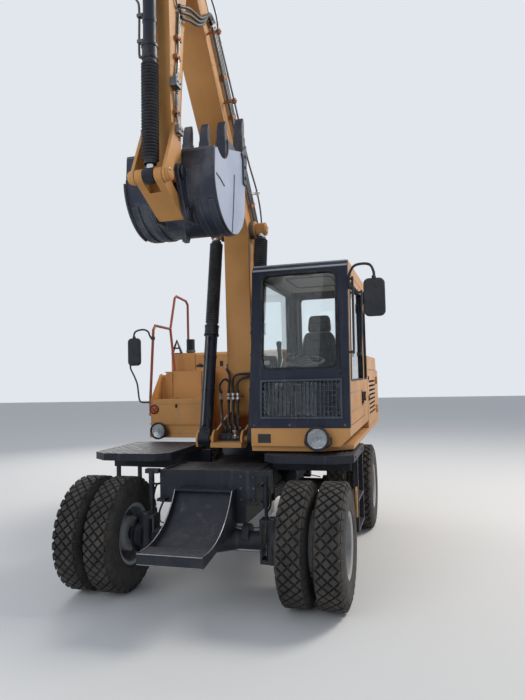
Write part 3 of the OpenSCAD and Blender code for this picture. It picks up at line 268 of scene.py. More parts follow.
def cab_side_paint(name):
    """Cab paint: orange on the rear and the outer side walls, dark elsewhere."""
    s = Shader(name + "_paint")
    x, y = s.place("X"), s.place("Y")
    lean = s.times(s.calc("SUBTRACT", s.place("Z"), SILL / 1000), LEAN / (CAB_TOP - SILL))
    side = s.calc("GREATER_THAN", s.calc("SUBTRACT", y, lean), (CAB_Y0 + FRONT_STRIP + ROW_Y) / 1000)
    outward = s.calc("GREATER_THAN", s.calc("ABSOLUTE", s.facing("X")), 0.8)
    left, right = s.calc("GREATER_THAN", x, (CAB_X1 - SKIN) / 1000), s.calc("LESS_THAN", x, (CAB_X0 + SKIN) / 1000)
    rear = s.calc("GREATER_THAN", y, (CAB_Y1 - 3 + ROW_Y) / 1000)
    orange = s.most(s.times(s.times(side, s.most(left, right)), outward), rear)
    paint = s.mix(s.patches(1.7, 3, 0.38, 0.66), (0.56, 0.27, 0.085), (0.45, 0.21, 0.058))
    dark = s.mix(s.patches(2.0, 3, 0.4, 0.66), (0.007, 0.011, 0.024), (0.012, 0.017, 0.032))
    film = s.times(s.ramp(s.facing("Z"), 0.4, 0.95), s.patches(9.0, 6, 0.3, 0.72, 0.15, 0.55, 0.6))
    film = s.most(film, s.patches(5.0, 5, 0.56, 0.78, 0.0, 0.10, 0.6, RAIN))
    tone = s.mix(film, s.mix(orange, dark, paint), (0.26, 0.21, 0.16))
    worn = s.times(s.edge(), s.patches(34.0, 4, 0.50, 0.62, 0.0, 0.5, 0.7))
    s.set(Base_Color=s.mix(worn, tone, (0.16, 0.10, 0.07)), Specular_IOR_Level=0.35)
    s.set(Roughness=s.patches(14.0, 4, 0.3, 0.7, 0.34, 0.52))
    s.bump(s.noise(260.0, 2), 0.12, 0.0008)
    return s.mat


CLEAN = {"dusty": 0.2, "low_dirt": 0}
MAT, SLOT = {}, {}
for name, slot, kind, values, more in (
        ("paint", "paint", painted, ((0.56, 0.275, 0.09), (0.455, 0.215, 0.062), (0.13, 0.065, 0.035)), {}),
        ("dark", "dark_paint", painted, ((0.008, 0.011, 0.020), (0.013, 0.016, 0.026), (0.16, 0.10, 0.07)),
         {"dust": (0.14, 0.12, 0.10), "gloss": 0.45, "wear": 0.55, "dusty": 0.22, "low_dirt": 0.22}),
        ("rail", "rail_paint", painted, ((0.30, 0.075, 0.035), (0.22, 0.06, 0.03), (0.42, 0.30, 0.2)),
         {"wear": 0.7, **CLEAN}),
        ("rim", "rim", painted, ((0.40, 0.41, 0.42), (0.32, 0.33, 0.34), (0.15, 0.10, 0.08)),
         {"gloss": 0.36, "dusty": 0.2, "low_dirt": 0.35}),
        # pale: a light grey painted in as sunlight on the roof's front edge
        ("pale", "dark_paint", painted, ((0.34, 0.37, 0.42), (0.26, 0.29, 0.34), (0.12, 0.10, 0.08)), CLEAN),
        ("mesh", "steel", painted, ((0.055, 0.068, 0.095), (0.035, 0.045, 0.07), (0.16, 0.12, 0.1)), CLEAN),
        ("clamp", "rail_paint", painted, ((0.36, 0.13, 0.05), (0.27, 0.10, 0.04), (0.3, 0.2, 0.14)), CLEAN),
        # side: a pale blue-grey painted in as sunlight on the bucket's left side plate, not a colour the plate has
        ("side", "dark_paint", painted, ((0.40, 0.45, 0.56), (0.30, 0.35, 0.46), (0.30, 0.25, 0.2)),
         {"dust": (0.36, 0.32, 0.28), **CLEAN}),
        ("steel", "steel", metal, ((0.50, 0.50, 0.51), 0.34), {}),
        ("chrome", "rod", metal, ((0.62, 0.63, 0.65), 0.14, 0.2), {}),
        ("iron", "iron", metal, ((0.17, 0.165, 0.16), 0.55, 0.6), {}),
        ("bright", "steel", metal, ((0.72, 0.73, 0.74), 0.25, 0.2), {}),
        ("mirror", "rod", metal, ((0.88, 0.89, 0.90), 0.06, 0.05), {}),
        ("pipe", "dark_paint", metal, ((0.20, 0.205, 0.21), 0.38, 0.5), {}),
        ("lamp", "steel", metal, ((0.34, 0.35, 0.37), 0.3, 0.5), {}),
        ("plastic", "plastic", moulded, ((0.012, 0.014, 0.019), 0.55), {"dust": 0.10}),
        ("trim", "plastic", moulded, ((0.10, 0.105, 0.11), 0.65, 240.0, 0.15), {}),
        ("lining", "plastic", moulded, ((0.46, 0.44, 0.40), 0.85, 500.0, 0.2, (0.3, 0.27, 0.22)), {}),
        ("hose", "boot", moulded, ((0.012, 0.012, 0.013), 0.5, 600.0, 0.3), {}),
        # seal: black rubber for the seals and seams, and also a black stand-in for the shade inside the wheels' hand
        # holes
        ("seal", "boot", moulded, ((0.010, 0.010, 0.011), 0.7, 500.0, 0.35), {}),
        ("screen", "plastic", moulded, ((0.005, 0.006, 0.008), 0.15, 900.0, 0.05), {}),
        ("label", "plastic", moulded, ((0.62, 0.62, 0.60), 0.5, 700.0, 0.1), {}),
        ("red", "glass", lens, ((0.75, 0.03, 0.02), 0.12, 90.0), {}),
        ("amber", "glass", lens, ((0.9, 0.32, 0.02), 0.12, 90.0), {}),
        ("clear", "glass", lens, ((0.93, 0.95, 0.95), 0.04, 60.0), {}),
        ("tyre", "tyre", tyre_rubber, (), {}),
        ("boot", "boot", boot_rubber, (), {}),
        ("cloth", "cloth", woven, (), {}),
        ("glass", "glass", window_glass, (), {}),
        ("bucket", "dark_paint", bucket_steel, (), {}),
        ("cab", "dark_paint", cab_side_paint, (), {})):
    MAT[name], SLOT[name] = kind(name, *values, **more), slot


# Mesh kit
BOX_FACES = [[0, 1, 3, 2], [4, 6, 7, 5], [0, 4, 5, 1], [2, 3, 7, 6], [0, 2, 6, 4], [1, 5, 7, 3]]


def add_object(name, data):
    obj = bpy.data.objects.new(name, data)
    bpy.context.scene.collection.objects.link(obj)
    return obj


def basis(axis):
    """An axis and two directions square to it, each of length 1."""
    a = Vector(axis).normalized()
    u = a.cross(Vector(Z if abs(a.z) < 0.9 else Y)).normalized()
    return a, u, a.cross(u)


def smooth_path(points, steps):
    """A curve through the points, with the given number of steps between two of them."""
    p = [Vector(x) for x in points]
    p = [2 * p[0] - p[1]] + p + [2 * p[-1] - p[-2]]
    out = []
    for i in range(1, len(p) - 2):
        a, b, c, d = p[i - 1:i + 3]
        for t in (k / steps for k in range(steps)):
            out.append(0.5 * (2 * b + (c - a) * t + (2 * a - 5 * b + 4 * c - d) * t * t
                              + (3 * b - a - 3 * c + d) * t ** 3))
    return out + [p[-2]]


def bands(rings, n, loop=False):
    """Faces between rings of n points, and from the last ring to the first where they loop."""
    pairs = [(i, (i + 1) % rings) for i in range(rings if loop else rings - 1)]
    return [[i * n + k, i * n + (k + 1) % n, j * n + (k + 1) % n, j * n + k] for i, j in pairs for k in range(n)]


def round_places(centre, axis, n, r, start=0.0):
    """Places round a centre, square to a main axis."""
    u, w = (k for k in range(3) if not axis[k])
    out = []
    for t in (start + tau * i / n for i in range(n)):
        p = list(centre)
        p[u], p[w] = p[u] + r * cos(t), p[w] + r * sin(t)
        out.append(p)
    return out


class Kit:
    """Collects shapes of one material that ride on one body, and makes them one piece when its block ends."""

    def __init__(self, name, body, mat, sharp=40, bevel=0.0):
        self.name, self.body, self.mat, self.sharp, self.bevel = name, body, mat, sharp, bevel
        self.v, self.f = [], []

    def __enter__(self):
        return self

    def __exit__(self, *error):
        self.done()

    def add(self, verts, faces):
        n = len(self.v)
        self.v += [M(p) for p in verts]
        self.f += [[i + n for i in f] for f in faces]

    def block(self, a, b, turn=0.0):
        """A box between two corners, turned about X at its middle by some degrees."""
        c = [(x, y, z) for x in (a[0], b[0]) for y in (a[1], b[1]) for z in (a[2], b[2])]
        if turn:
            q, s, k = ((a[1] + b[1]) / 2, (a[2] + b[2]) / 2), sin(radians(turn)), cos(radians(turn))
            c = [(x, q[0] + (y - q[0]) * k - (z - q[1]) * s, q[1] + (y - q[0]) * s + (z - q[1]) * k)
                 for x, y, z in c]
        self.add(c, BOX_FACES)

    def lathe(self, p, axis, profile, n=24):
        """A turned shape: profile points are (radius, height along the axis from p)."""
        a, u, w = basis(axis)
        p = Vector(p)
        rings, verts, faces = [], [], []
        for r, h in profile:
            m = 1 if r < 1e-6 else n
            rings.append(range(len(verts), len(verts) + m))
            verts += [p + a * h + r * (u * cos(tau * i / n) + w * sin(tau * i / n)) for i in range(m)]
        for s, t in zip(rings, rings[1:]):
            for i in range(n):
                j = (i + 1) % n
                face = list(dict.fromkeys((s[i % len(s)], s[j % len(s)], t[j % len(t)], t[i % len(t)])))
                if len(face) > 2:
                    faces.append(face)
        self.add(verts, faces)

    def bar(self, p, q, r, n=16, c=0.0):
        """A round bar between two points, with chamfered ends."""
        along = Vector(q) - Vector(p)
        h = along.length
        ends = ([(r - c, 0), (r, c)], [(r, h - c), (r - c, h)]) if c else ([(r, 0)], [(r, h)])
        self.lathe(p, along, [(0, 0), *ends[0], *ends[1], (0, h)], n)

    def bolt(self, p, axis, r, h):
        """A hexagon head on a washer."""
        self.lathe(p, axis, [(r * 1.35, 0), (r * 1.35, 2.2), (0, 2.2)], 14)
        self.lathe(p, axis, [(r, 2.2), (r, h), (r * 0.84, h + 1.4), (0, h + 1.4)], 6)

    def bolts(self, places, axis, r, h):
        for p in places:
            self.bolt(p, axis, r, h)

    def tube(self, points, r, n=10, steps=6, closed=False):
        """A round tube or hose along a smooth path."""
        path = smooth_path(points, steps) if steps else [Vector(x) for x in points]
        m, verts, up = len(path), [], None
        for i, q in enumerate(path):
            ahead = path[(i + 1) % m] if closed or i + 1 < m else q
            back = path[i - 1] if closed or i else q
            d = (ahead - back).normalized()
            up = basis(d)[1] if up is None else up
            up = (up - d * up.dot(d)).normalized()
            side = d.cross(up)
            verts += [q + r * (up * cos(tau * k / n) + side * sin(tau * k / n)) for k in range(n)]
        caps = [] if closed else [list(range(n))[::-1], list(range((m - 1) * n, m * n))]
        self.add(verts, bands(m, n, closed) + caps)

    def prism(self, low, high):
        n = len(low)
        self.add(low + high, [list(range(n))[::-1], list(range(n, 2 * n))] + bands(2, n))

    def plate(self, outline, x0, x1):
        """A (Y, Z) outline spread along X."""
        self.prism([(x0, y, z) for y, z in outline], [(x1, y, z) for y, z in outline])

    def slab(self, outline, z0, z1):
        """An (X, Y) outline raised along Z."""
        self.prism([(x, y, z0) for x, y in outline], [(x, y, z1) for x, y in outline])

    def done(self):
        mesh = bpy.data.meshes.new(self.name)
        mesh.from_pydata(self.v, [], self.f)
        mesh.validate()
        bm = bmesh.new()
        bm.from_mesh(mesh)
        bmesh.ops.recalc_face_normals(bm, faces=bm.faces)
        bm.to_mesh(mesh)
        bm.free()
        for p in mesh.polygons:
            p.use_smooth = True
        mesh.set_sharp_from_angle(angle=radians(self.sharp))
        mesh.materials.append(MAT[self.mat])
        obj = add_object(self.name, mesh)
        if self.bevel:
            add_bevel(obj, self.bevel)
        if self.body:
            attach(obj, self.body)
        return obj


def add_bevel(obj, width):
    mod = obj.modifiers.new("bevel", "BEVEL")
    mod.width, mod.segments = width, 2
    mod.limit_method, mod.angle_limit = "ANGLE", radians(40)
    mod.harden_normals = False


# Camera, floor and light
def make_camera():
    """The photograph's view, as solved from its straight edges."""
    place, focal = (1848, -6687, 1908), 28.85
    yaw, pitch, roll = (radians(a) for a in (-15.59, 2.74, -1.43))
    d = Vector((sin(yaw) * cos(pitch), cos(yaw) * cos(pitch), sin(pitch)))
    r = Vector((cos(yaw), -sin(yaw), 0))
    u = r.cross(d)
    right, up = r * cos(roll) + u * sin(roll), u * cos(roll) - r * sin(roll)
    data = bpy.data.cameras.new("camera")
    data.lens, data.sensor_width, data.sensor_fit = focal, 36, "AUTO"
    cam = add_object("camera", data)
    cam.matrix_world = Matrix.Translation(M(place)) @ Matrix((right, up, -d)).transposed().to_4x4()
    bpy.context.scene.camera = cam


def make_stage():
    """A grey floor, a sky that is brighter where it is seen or mirrored, and three area lamps."""
    mesh, aim = bpy.data.meshes.new("floor"), Vector((0, 0, 2.2))
    s = 40  # half of the floor's width in metres
    mesh.from_pydata([(-s, -s, 0), (s, -s, 0), (s, s, 0), (-s, s, 0)], [], [[0, 1, 2, 3]])
    mesh.materials.append(Shader("floor", 0.85, 0.0, (0.66, 0.655, 0.64)).mat)
    add_object("floor", mesh)
    world = bpy.data.worlds.new("world")
    bpy.context.scene.world = world
    world.use_nodes = True
    tree = world.node_tree
    back = tree.nodes["Background"]
    put(tree, back.inputs["Color"], (0.80, 0.87, 1.0))
    put(tree, back.inputs["Strength"], 0.55)
    seen = node(tree, "Background", {"Color": (0.80, 0.84, 0.90), "Strength": 0.95})[0]
    ray = node(tree, "LightPath")
    either = node(tree, "Math", {0: ray["Is Camera Ray"], 1: ray["Is Transmission Ray"]}, operation="MAXIMUM")[0]
    third = node(tree, "Math", {0: either, 1: ray["Is Glossy Ray"]}, operation="MAXIMUM")[0]
    mixed = node(tree, "MixShader", {0: third, 1: back.outputs[0], 2: seen})[0]
    put(tree, tree.nodes["World Output"].inputs["Surface"], mixed)
    for name, place, size, power, colour in (
            ("key", (7.0, 3.0, 9.5), 3.5, 850, (1.0, 0.95, 0.87)),
            ("fill", (-3.5, -9.5, 5.0), 6.0, 300, (0.90, 0.95, 1.0)),
            ("rear", (-6.0, 7.0, 6.0), 5.0, 260, (1.0, 0.98, 0.95))):
        lamp = bpy.data.lights.new(name, "AREA")
        lamp.energy, lamp.size, lamp.color = power, size, colour
        obj = add_object(name, lamp)
        obj.location = place
        obj.visible_glossy = name != "fill"
        obj.rotation_euler = (aim - Vector(place)).to_track_quat("-Z", "Y").to_euler()


bpy.context.scene.view_settings.view_transform = "Standard"
make_camera()
make_stage()

# The frame's own nodes
DRESS = {
    "paint": "upper_frame counterweight housing engine_hood pump_door radiator_door fuel_tank tool_box tool_box_lid "
             "cab_base boom arm rockers push_link",
    "dark": "chassis_frame pedestal outriggers ladders boarding_step side_platforms front_axle rear_axle "
            "lock_cylinders knuckle_left knuckle_right exhaust hose_manifold lift_barrels crowd_barrel curl_barrel",
    "cab": "cab_frame cab_door",
    "rail": "handrails",
    "rim": "hub_front_left hub_front_right hub_rear_left hub_rear_right",
    "steel": "driveline slew_ring tie_rod",
    "iron": "engine_block",
    "plastic": "controls mirrors work_lamps",
    "pipe": "boom_pipes",
    "mesh": "window_guard",
    "chrome": "lift_rods crowd_rod curl_rod",
    "glass": "cab_glass door_glass",
    "bucket": "bucket",
    "cloth": "seat",
    "tyre": "tyres_front_left tyres_front_right tyres_rear_left tyres_rear_right",
    "boot": "lift_gaiters curl_gaiter",
}
ROUNDED = {
    2: "ladders side_platforms pump_door radiator_door bucket",
    3: "chassis_frame pedestal outriggers upper_frame housing boom arm rockers push_link front_axle rear_axle",
    4: "engine_hood tool_box tool_box_lid cab_base cab_door driveline",
    5: "cab_frame",
    6: "engine_block",
    8: "counterweight fuel_tank",
}
for mat, names in DRESS.items():
    for name in names.split():
        part = NODES[name]
        if not part.material_slots:
            part.data.materials.append(MAT[mat])
        for slot in part.material_slots:
            slot.material = MAT[mat]
for width, names in ROUNDED.items():
    for name in names.split():
        weld = NODES[name].modifiers.new("weld", "WELD")
        weld.merge_threshold = 0.00005
        add_bevel(NODES[name], width / 1000)


# Tyres and wheels
TREAD = TYRE_R - 28  # ground of the tread, below its blocks
WALL = [(RIM_R + r, w) for r, w in ((1, 0.70), (2, 0.78), (22, 0.90), (26, 0.94), (34, 0.93), (60, 0.965), (100, 0.99),
                                    (128, 1.0), (150, 0.99), (152, 1.005), (158, 1.0), (178, 0.965))]
WALL += [(TREAD + r, w) for r, w in ((-30, 0.90), (-6, 0.80), (0, 0.66), (1, 0.0))]
LUG = ((-1, 0.80, -4), (1, 0.80, -4), (0.8, 0.93, -42), (-0.8, 0.93, -42),
       (-0.9, 0.84, 8), (0.9, 0.84, 8), (0.6, 0.975, -38), (-0.6, 0.975, -38))
FLANGE = [(-15, -14), (-0.4, -14), (-0.4, 2), (10, 4), (19, 10), (20, 14), (14, 15), (-2, 9), (-14, 2), (-15, -14)]
FLANGE = [(RIM_R + r, h) for r, h in FLANGE]


def tyre_pair(tag, side, y):
    """Two tyres with sidewall rings and a tread of diamond blocks in five rows."""
    kit = Kit("tyre_pair_" + tag, "wheel_" + tag, "tyre", 30)
    pitches, steps = 34, 96
    pitch, row_step, shoulder, rim = tau / pitches, 0.36 * TYRE_H, 0.75 * TYRE_H, 0.80 * TYRE_H
    long, wide, lug = 0.375 * pitch, 0.75 * row_step, 0.30 * pitch
    profile = [(r, -TYRE_H * w) for r, w in WALL] + [(r, TYRE_H * w) for r, w in reversed(WALL[:-1])]
    for k in (-1, 1):
        middle = side * PAIR_X + k * TWIN
        kit.lathe((middle, y, AXLE_Z), X, profile, steps)

        def at(turn, v, r):
            return (middle + v, y - r * cos(turn), AXLE_Z + r * sin(turn))

        for i in range(pitches):
            for row in range(-2, 3):
                turn, v = (i + row % 2 / 2) * pitch, row * row_step
                if abs(row) < 2:
                    shape = [(-long, 0), (0, -wide), (long, 0), (0, wide)]
                else:
                    s = 1 if row > 0 else -1
                    out = s * (rim - abs(v))
                    shape = [(-long, 0), (0, -wide * s), (long, 0), (long * 0.72, out), (-long * 0.72, out)][::s]
                m = len(shape)
                verts = [at(turn + a * 1.10, v + b * 1.06, TREAD - 3) for a, b in shape]
                for long_part, wide_part, low, fall in ((1, 1, 4, 8), (0.9, 0.92, 1, 7)):
                    verts += [at(turn + a * long_part, v + b * wide_part,
                                 TYRE_R - low - (fall if abs(v + b) > shoulder else 0)) for a, b in shape]
                verts.append(at(turn, v, TYRE_R))
                kit.add(verts, bands(3, m) + [[2 * m + j, 2 * m + (j + 1) % m, 3 * m] for j in range(m)])
            for s in (-1, 1):
                kit.add([at(i * pitch + a * lug, s * w * TYRE_H, TREAD + r) for a, w, r in LUG],
                        [[0, 1, 5, 4], [1, 2, 6, 5], [2, 3, 7, 6], [3, 0, 4, 7], [4, 5, 6, 7]])
    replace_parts(kit.done(), "tyres_" + tag)


def wheel_details(tag, side, y):
    """Rim flanges, wheel nuts, the hub's cap with its bolts, and thin black discs painted as the shade in the hand
    holes.
    """
    body, out = "wheel_" + tag, (side, 0, 0)
    nut_r, cap_r, hole_r = 195, 88, 218

    def hub(x):
        return (side * (PAIR_X + x), y, AXLE_Z)

    with Kit("rim_flanges_" + tag, body, "rim", 30) as k:
        for twin in (-1, 1):
            for e in (-1, 1):
                x = side * PAIR_X + twin * TWIN + e * 0.76 * TYRE_H
                k.lathe((x, y, AXLE_Z), (e, 0, 0), FLANGE, 72)
    with Kit("wheel_nuts_" + tag, body, "iron", 30) as k:
        for p in round_places(hub(22), X, 10, nut_r):
            k.bolt(p, out, 15, 20)
            k.bar(p, (p[0] + side * 34, p[1], p[2]), 8, 10)
        k.bolts(round_places(hub(190), X, 12, cap_r, 0.2), out, 8, 8)
        k.lathe(hub(190), out, [(46, 0), (46, 12), (36, 18), (0, 20)])
        k.bolt(hub(209), out, 12, 8)
    # Painted shade: thin black discs on the wheel's disc where its hand holes are, standing for the dark seen through
    # them
    with Kit("hand_hole_shade_" + tag, body, "seal") as k:
        for p in round_places(hub(21.6), X, 8, hole_r, pi / 8):
            k.lathe(p, out, [(15, 0), (15, 1.6), (12, 1.8), (0, 1.2)], 16)


for end, y in (("front", FRONT_Y), ("rear", REAR_Y)):
    for hand, side in (("left", 1), ("right", -1)):
        tyre_pair(end + "_" + hand, side, y)
        wheel_details(end + "_" + hand, side, y)


# Rubber boots
def boot(name, foot, eye, x_places, start, end, r, body, replaced):
    """Corrugated boots over rods, with even folds and a cuff at each end, narrowing at the eye end."""
    kit = Kit(name, body, "boot", 50)
    d = Vector((0, eye[0] - foot[0], eye[1] - foot[1])).normalized()
    length, cuff, fold = end - start, 25, 24
    folds = int((length - 2 * cuff) / fold)
    step = (length - 2 * cuff) / folds
    profile = [(r - 10, 0), (r - 6, 0), (r - 6, 24)]
    for z in (cuff + i * step for i in range(folds)):
        profile += [(r - 9, z), (r + 4, z + 0.36 * step), (r + 6, z + 0.5 * step), (r + 4, z + 0.64 * step)]
    profile += [(r - 9, length - cuff), (r - 9, length - 22), (r - 14, length), (r - 18, length)]
    for x in x_places:
        kit.lathe(Vector((x, *foot)) + d * start, d, profile, 40)
    obj = kit.done()
    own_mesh(obj)
    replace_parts(obj, replaced)


boot("lift_boots", LIFT_FOOT, LIFT_EYE, LIFT_X, 1190.4, 2151, 66,
     "lift_rods", "lift_gaiters")
boot("curl_boot", CURL_FOOT, LINK_PIN, (0,), 1050.4, 1845, 60,
     "curl_rod", "curl_gaiter")

# Cab
SLOPE = atan2(LEAN, CAB_TOP - SILL)
FRONT_WINDOWS = ((435, 1135, 545, 1440, 70), (435, 1170, 100, 425, 30))  # x0, x1, up0, up1, corner radius


def front(x, inward, up):
    """A point on the cab's leaning front: inward from its face, and up along it from the sill."""
    return (x, CAB_Y0 + inward * cos(SLOPE) + up * sin(SLOPE), SILL - inward * sin(SLOPE) + up * cos(SLOPE))


def fillet(points, r, n=5):
    """A closed outline with its corners rounded."""
    out = []
    for i, p in enumerate(points):
        p = Vector(p)
        a, b = (Vector(points[i - 1]) - p).normalized(), (Vector(points[(i + 1) % len(points)]) - p).normalized()
        half = a.angle(b) / 2
        c = p + (a + b).normalized() * (r / sin(half))
        s, e = p + a * (r / tan(half)) - c, p + b * (r / tan(half)) - c
        turn = s.angle(e)
        for w in (k / n for k in range(n + 1)):
            out.append(tuple(c + (s * sin((1 - w) * turn) + e * sin(w * turn)) / sin(turn)))
    return out


def rounded(x0, x1, z0, z1, r, n=5):
    return fillet([(x0, z0), (x1, z0), (x1, z1), (x0, z1)], r, n)


def ring_x(kit, x, outline, r):
    """A closed bead along a (Y, Z) outline at one X."""
    kit.tube([(x, y, z) for y, z in outline], r, 8, 0, True)


with Kit("window_seals", "upper", "seal", 60) as k:
    for window in FRONT_WINDOWS:
        for inward in (-1, 46):
            k.tube([front(x, inward, z) for x, z in rounded(*window)], 9, 8, 0, True)
    for places, y0, y1 in (((CAB_X0 - 1, CAB_X0 + 46), -1485, -170), ((CAB_X1 + 1, CAB_X1 - 46), -310, -70)):
        for x in places:
            ring_x(k, x, rounded(y0, y1, SILL + 420, SILL + 1420, 14), 8)
    for y in (CAB_Y1 + 1, CAB_Y1 - 46):
        k.tube([(x, y, z) for x, z in rounded(475, 1105, SILL + 620, SILL + 1400, 50)], 8, 8, 0, True)
with Kit("door_seals", "cab_door", "seal", 60) as k:
    glass = [(-1541.1, SILL + 420), (-480, SILL + 420), (-480, SILL + 1341), (-1444.9, SILL + 1341)]
    for x in (CAB_X1 + 1, CAB_X1 - 46):
        ring_x(k, x, fillet(glass, 16), 8)
    edge = [(-1650, SILL + 36), (-414, SILL + 36), (-414, SILL + 1406), (-1503, SILL + 1406)]
    ring_x(k, CAB_X1 - 49, fillet(edge, 16), 6)

# Outside of the cab
with Kit("roof_skin", "upper", "dark", 30, 0.003) as k:
    k.slab(rounded(352, 1228, -1492, -75, 60), CAB_TOP - 2, CAB_TOP + 8)
    for x in range(430, 1031, 200):
        k.block((x, -1420, CAB_TOP + 7), (x + 70, -160, CAB_TOP + 15))
# Painted highlight: a pale strip and bead along the roof's front edge, standing for the sun on that edge
with Kit("roof_brow_painted_highlight", "upper", "pale", 30, 0.003) as k:
    k.block((CAB_X0 + 6, -1574, CAB_TOP - 62), (CAB_X1 - 6, -1562, CAB_TOP - 44), -40)
    k.tube([(CAB_X0 + 8, -1530, CAB_TOP - 6), (CAB_X1 - 8, -1530, CAB_TOP - 6)], 9, 8, 1)
with Kit("grab_bars", "upper", "plastic", 50) as k:
    k.tube([(x, front_at(lean_z) + 34, z) for x, lean_z, z in (
        (CAB_X1, 2110, 2110), (1278, 2120, 2118), (1285, 2150, 2150), (1285, 2750, 2750), (1278, 2780, 2782),
        (CAB_X1, 2790, 2790))], 11, 10)
with Kit("door_bar", "cab_door", "plastic", 50) as k:
    k.tube([(CAB_X1, -972, 2112), (1279, -972, 2120), (1287, -955, 2150), (1287, -740, 2742), (1279, -733, 2772),
            (CAB_X1, -733, 2780)], 11, 10)
    k.block((CAB_X1 - 1, -1000, 2088), (CAB_X1 + 5, -944, 2134))
    k.block((CAB_X1 - 1, -760, 2756), (CAB_X1 + 5, -704, 2802))
with Kit("door_handle", "cab_door", "plastic", 30, 0.003) as k:
    k.slab(rounded(CAB_X1 - 2, CAB_X1 + 4, -650, -560, 1), 1580, 1740)
    k.block((CAB_X1 + 3, -640, 1600), (CAB_X1 + 22, -618, 1722))
    k.lathe((CAB_X1 + 3, -585, 1625), X, [(15, 0), (15, 7), (11, 9), (0, 9)], 20)
with Kit("door_ribs", "cab_door", "cab", 30, 0.002) as k:
    for z in (SILL + 130, SILL + 300):
        k.block((CAB_X1 - 1, -1560, z), (CAB_X1 + 3, -480, z + 12))
with Kit("wiper", "upper", "plastic") as k:
    k.lathe(front(1160, -1, 505), Vector(front(0, -1, 0)) - Vector(front(0, 0, 0)),
            [(20, 0), (20, 10), (12, 16), (0, 17)], 18)
    k.tube([front(1160, -13, 505), front(1154, -22, 640), front(1152, -14, 900)], 5, 8)
    k.tube([front(1152, -11, 640), front(1152, -11, 1150)], 5, 8, 2)
with Kit("blank_plate", "upper", "plastic", 30, 0.001) as k:
    k.block((400, CAB_Y0 - 2.5, 1306), (521, CAB_Y0, 1387))
    for x in (408, 513):
        for z in (1313, 1380):
            k.lathe((x, CAB_Y0 - 2.5, z), FORE, [(4, 0), (3.2, 1.4), (0, 2)], 8)
with Kit("cab_bolts", "upper", "iron", 30) as k:
    k.bolts([front(x, 0, 28) for x in (365, 700, 1200)], FORE, 8, 6)
    k.bolts([(CAB_X0, y, z) for z in (1500, 1700) for y in (-1560, -700, -60)], (-1, 0, 0), 8, 6)

# Inside of the cab
with Kit("roof_lining", "upper", "lining", 40, 0.004) as k:
    k.slab(rounded(384, 1196, -1462, -120, 50), 2903, 2922)
with Kit("roof_hatch", "upper", "trim") as k:
    k.tube([(x, y, 2901) for x, y in rounded(560, 1020, -1150, -520, 60)], 11, 8, 0, True)
    for x in (384, 1196):
        k.tube([(x, -1440, 2890), (x, -120, 2890)], 14, 8, 1)
    k.block((700, -1448, 2880), (880, -1330, 2904))
with Kit("wall_trim", "upper", "trim", 40, 0.006) as k:
    k.block((386, -24, 1500), (1194, -15.5, 2040))
    k.block((380.5, -1470, 1500), (388, -40, 1838))
    for x in (392, 960):
        k.block((x, -210, 1486), (x + 228, -26, 1780))
    for x in (440, 1110):
        k.block((x, -40, 2056), (x + 20, -16, 2830))
with Kit("floor_mat", "upper", "hose", 40, 0.002) as k:
    k.slab(rounded(392, 1188, -1650, -220, 30), FLOOR_IN - 0.6, FLOOR_IN + 4)
    for x in range(430, 1127, 24):
        k.block((x, -1600, FLOOR_IN + 3.5), (x + 10, -1200, FLOOR_IN + 6))
with Kit("side_console", "upper", "plastic", 40, 0.010) as k:
    outline = [(-1425, 1488), (-1180, 1488), (-1180, 2040), (-1235, 2112), (-1395, 2112), (-1425, 2060)]
    k.plate(fillet(outline, 22), 386, 470)
    k.block((396, -1432, 1620), (460, -1420, 1900))
with Kit("console_label", "upper", "label") as k:
    k.block((389, -1427, 2022), (449, -1424.6, 2063))
with Kit("gauges", "upper", "screen") as k:
    for z in (1800, 1885, 1970):
        k.lathe((428, -1178, z), Y, [(30, 0), (30, 6), (26, 7), (24, 4), (0, 4)])
    k.block((470, -1380, 1990), (474, -1230, 2070))
with Kit("lever_grips", "upper", "plastic") as k:
    leaning = (0, -0.14, 1)
    bellows = [(46, 0), (48, 8), (38, 16), (41, 24), (32, 32), (35, 40), (27, 48), (29, 56), (22, 66), (0, 66)]
    knob = [(0, 0), (20, 2), (25, 20), (22, 48), (27, 76), (29, 96), (22, 112), (0, 118)]
    for x in (SEAT_X - 330, SEAT_X + 330):
        k.lathe((x, SEAT_Y - 162, FLOOR_IN + 496), leaning, bellows)
        k.lathe((x, SEAT_Y - 186, FLOOR_IN + 672), leaning, knob, 20)
        k.block((x - 50, SEAT_Y - 90, FLOOR_IN + 499), (x + 50, SEAT_Y + 190, FLOOR_IN + 512))
    pedal = [(-1540, 20), (-1590, 190), (-1598, 186), (-1550, 10)]
    for x in (SEAT_X - 150, SEAT_X + 150):
        k.plate([(y, FLOOR_IN + z) for y, z in pedal], x - 45, x + 45)
        k.tube([(x, -1560, FLOOR_IN + 100), (x, -1610, FLOOR_IN + 60)], 10, 8, 1)
wheel, tilt = Vector((SEAT_X, SEAT_Y - 480, FLOOR_IN + 560)), radians(15)
column = Vector((0, -sin(tilt), cos(tilt)))
with Kit("wheel_grip", "upper", "boot", 50) as k:
    k.tube([wheel + Vector((170 * cos(t), 170 * sin(t) * cos(tilt), 170 * sin(t) * sin(tilt)))
            for t in (tau * i / 48 for i in range(48))], 16, 10, 0, True)
    k.lathe(wheel - column * 4, column, [(52, 0), (52, 14), (44, 22), (0, 26)], 28)
    k.lathe(wheel + Vector((-120, 110 * cos(tilt), 110 * sin(tilt))), column,
            [(7, 0), (7, 34), (20, 38), (23, 56), (14, 72), (0, 75)], 18)
    k.lathe(wheel - column * 110, column, [(58, 0), (54, 22), (58, 30), (50, 52), (54, 60), (44, 84), (0, 84)])
with Kit("column_levers", "upper", "chrome") as k:
    k.tube([wheel - column * 60, wheel - column * 58 + Vector((-130, -40, 10)),
            wheel - column * 50 + Vector((-190, -60, 30))], 6, 8)
    k.tube([(470, -1330, 1800), (520, -1340, 1960), (560, -1320, 2080)], 8, 8)
    k.tube([(500, -1330, 1700), (560, -1350, 1880), (590, -1330, 1990)], 8, 8)


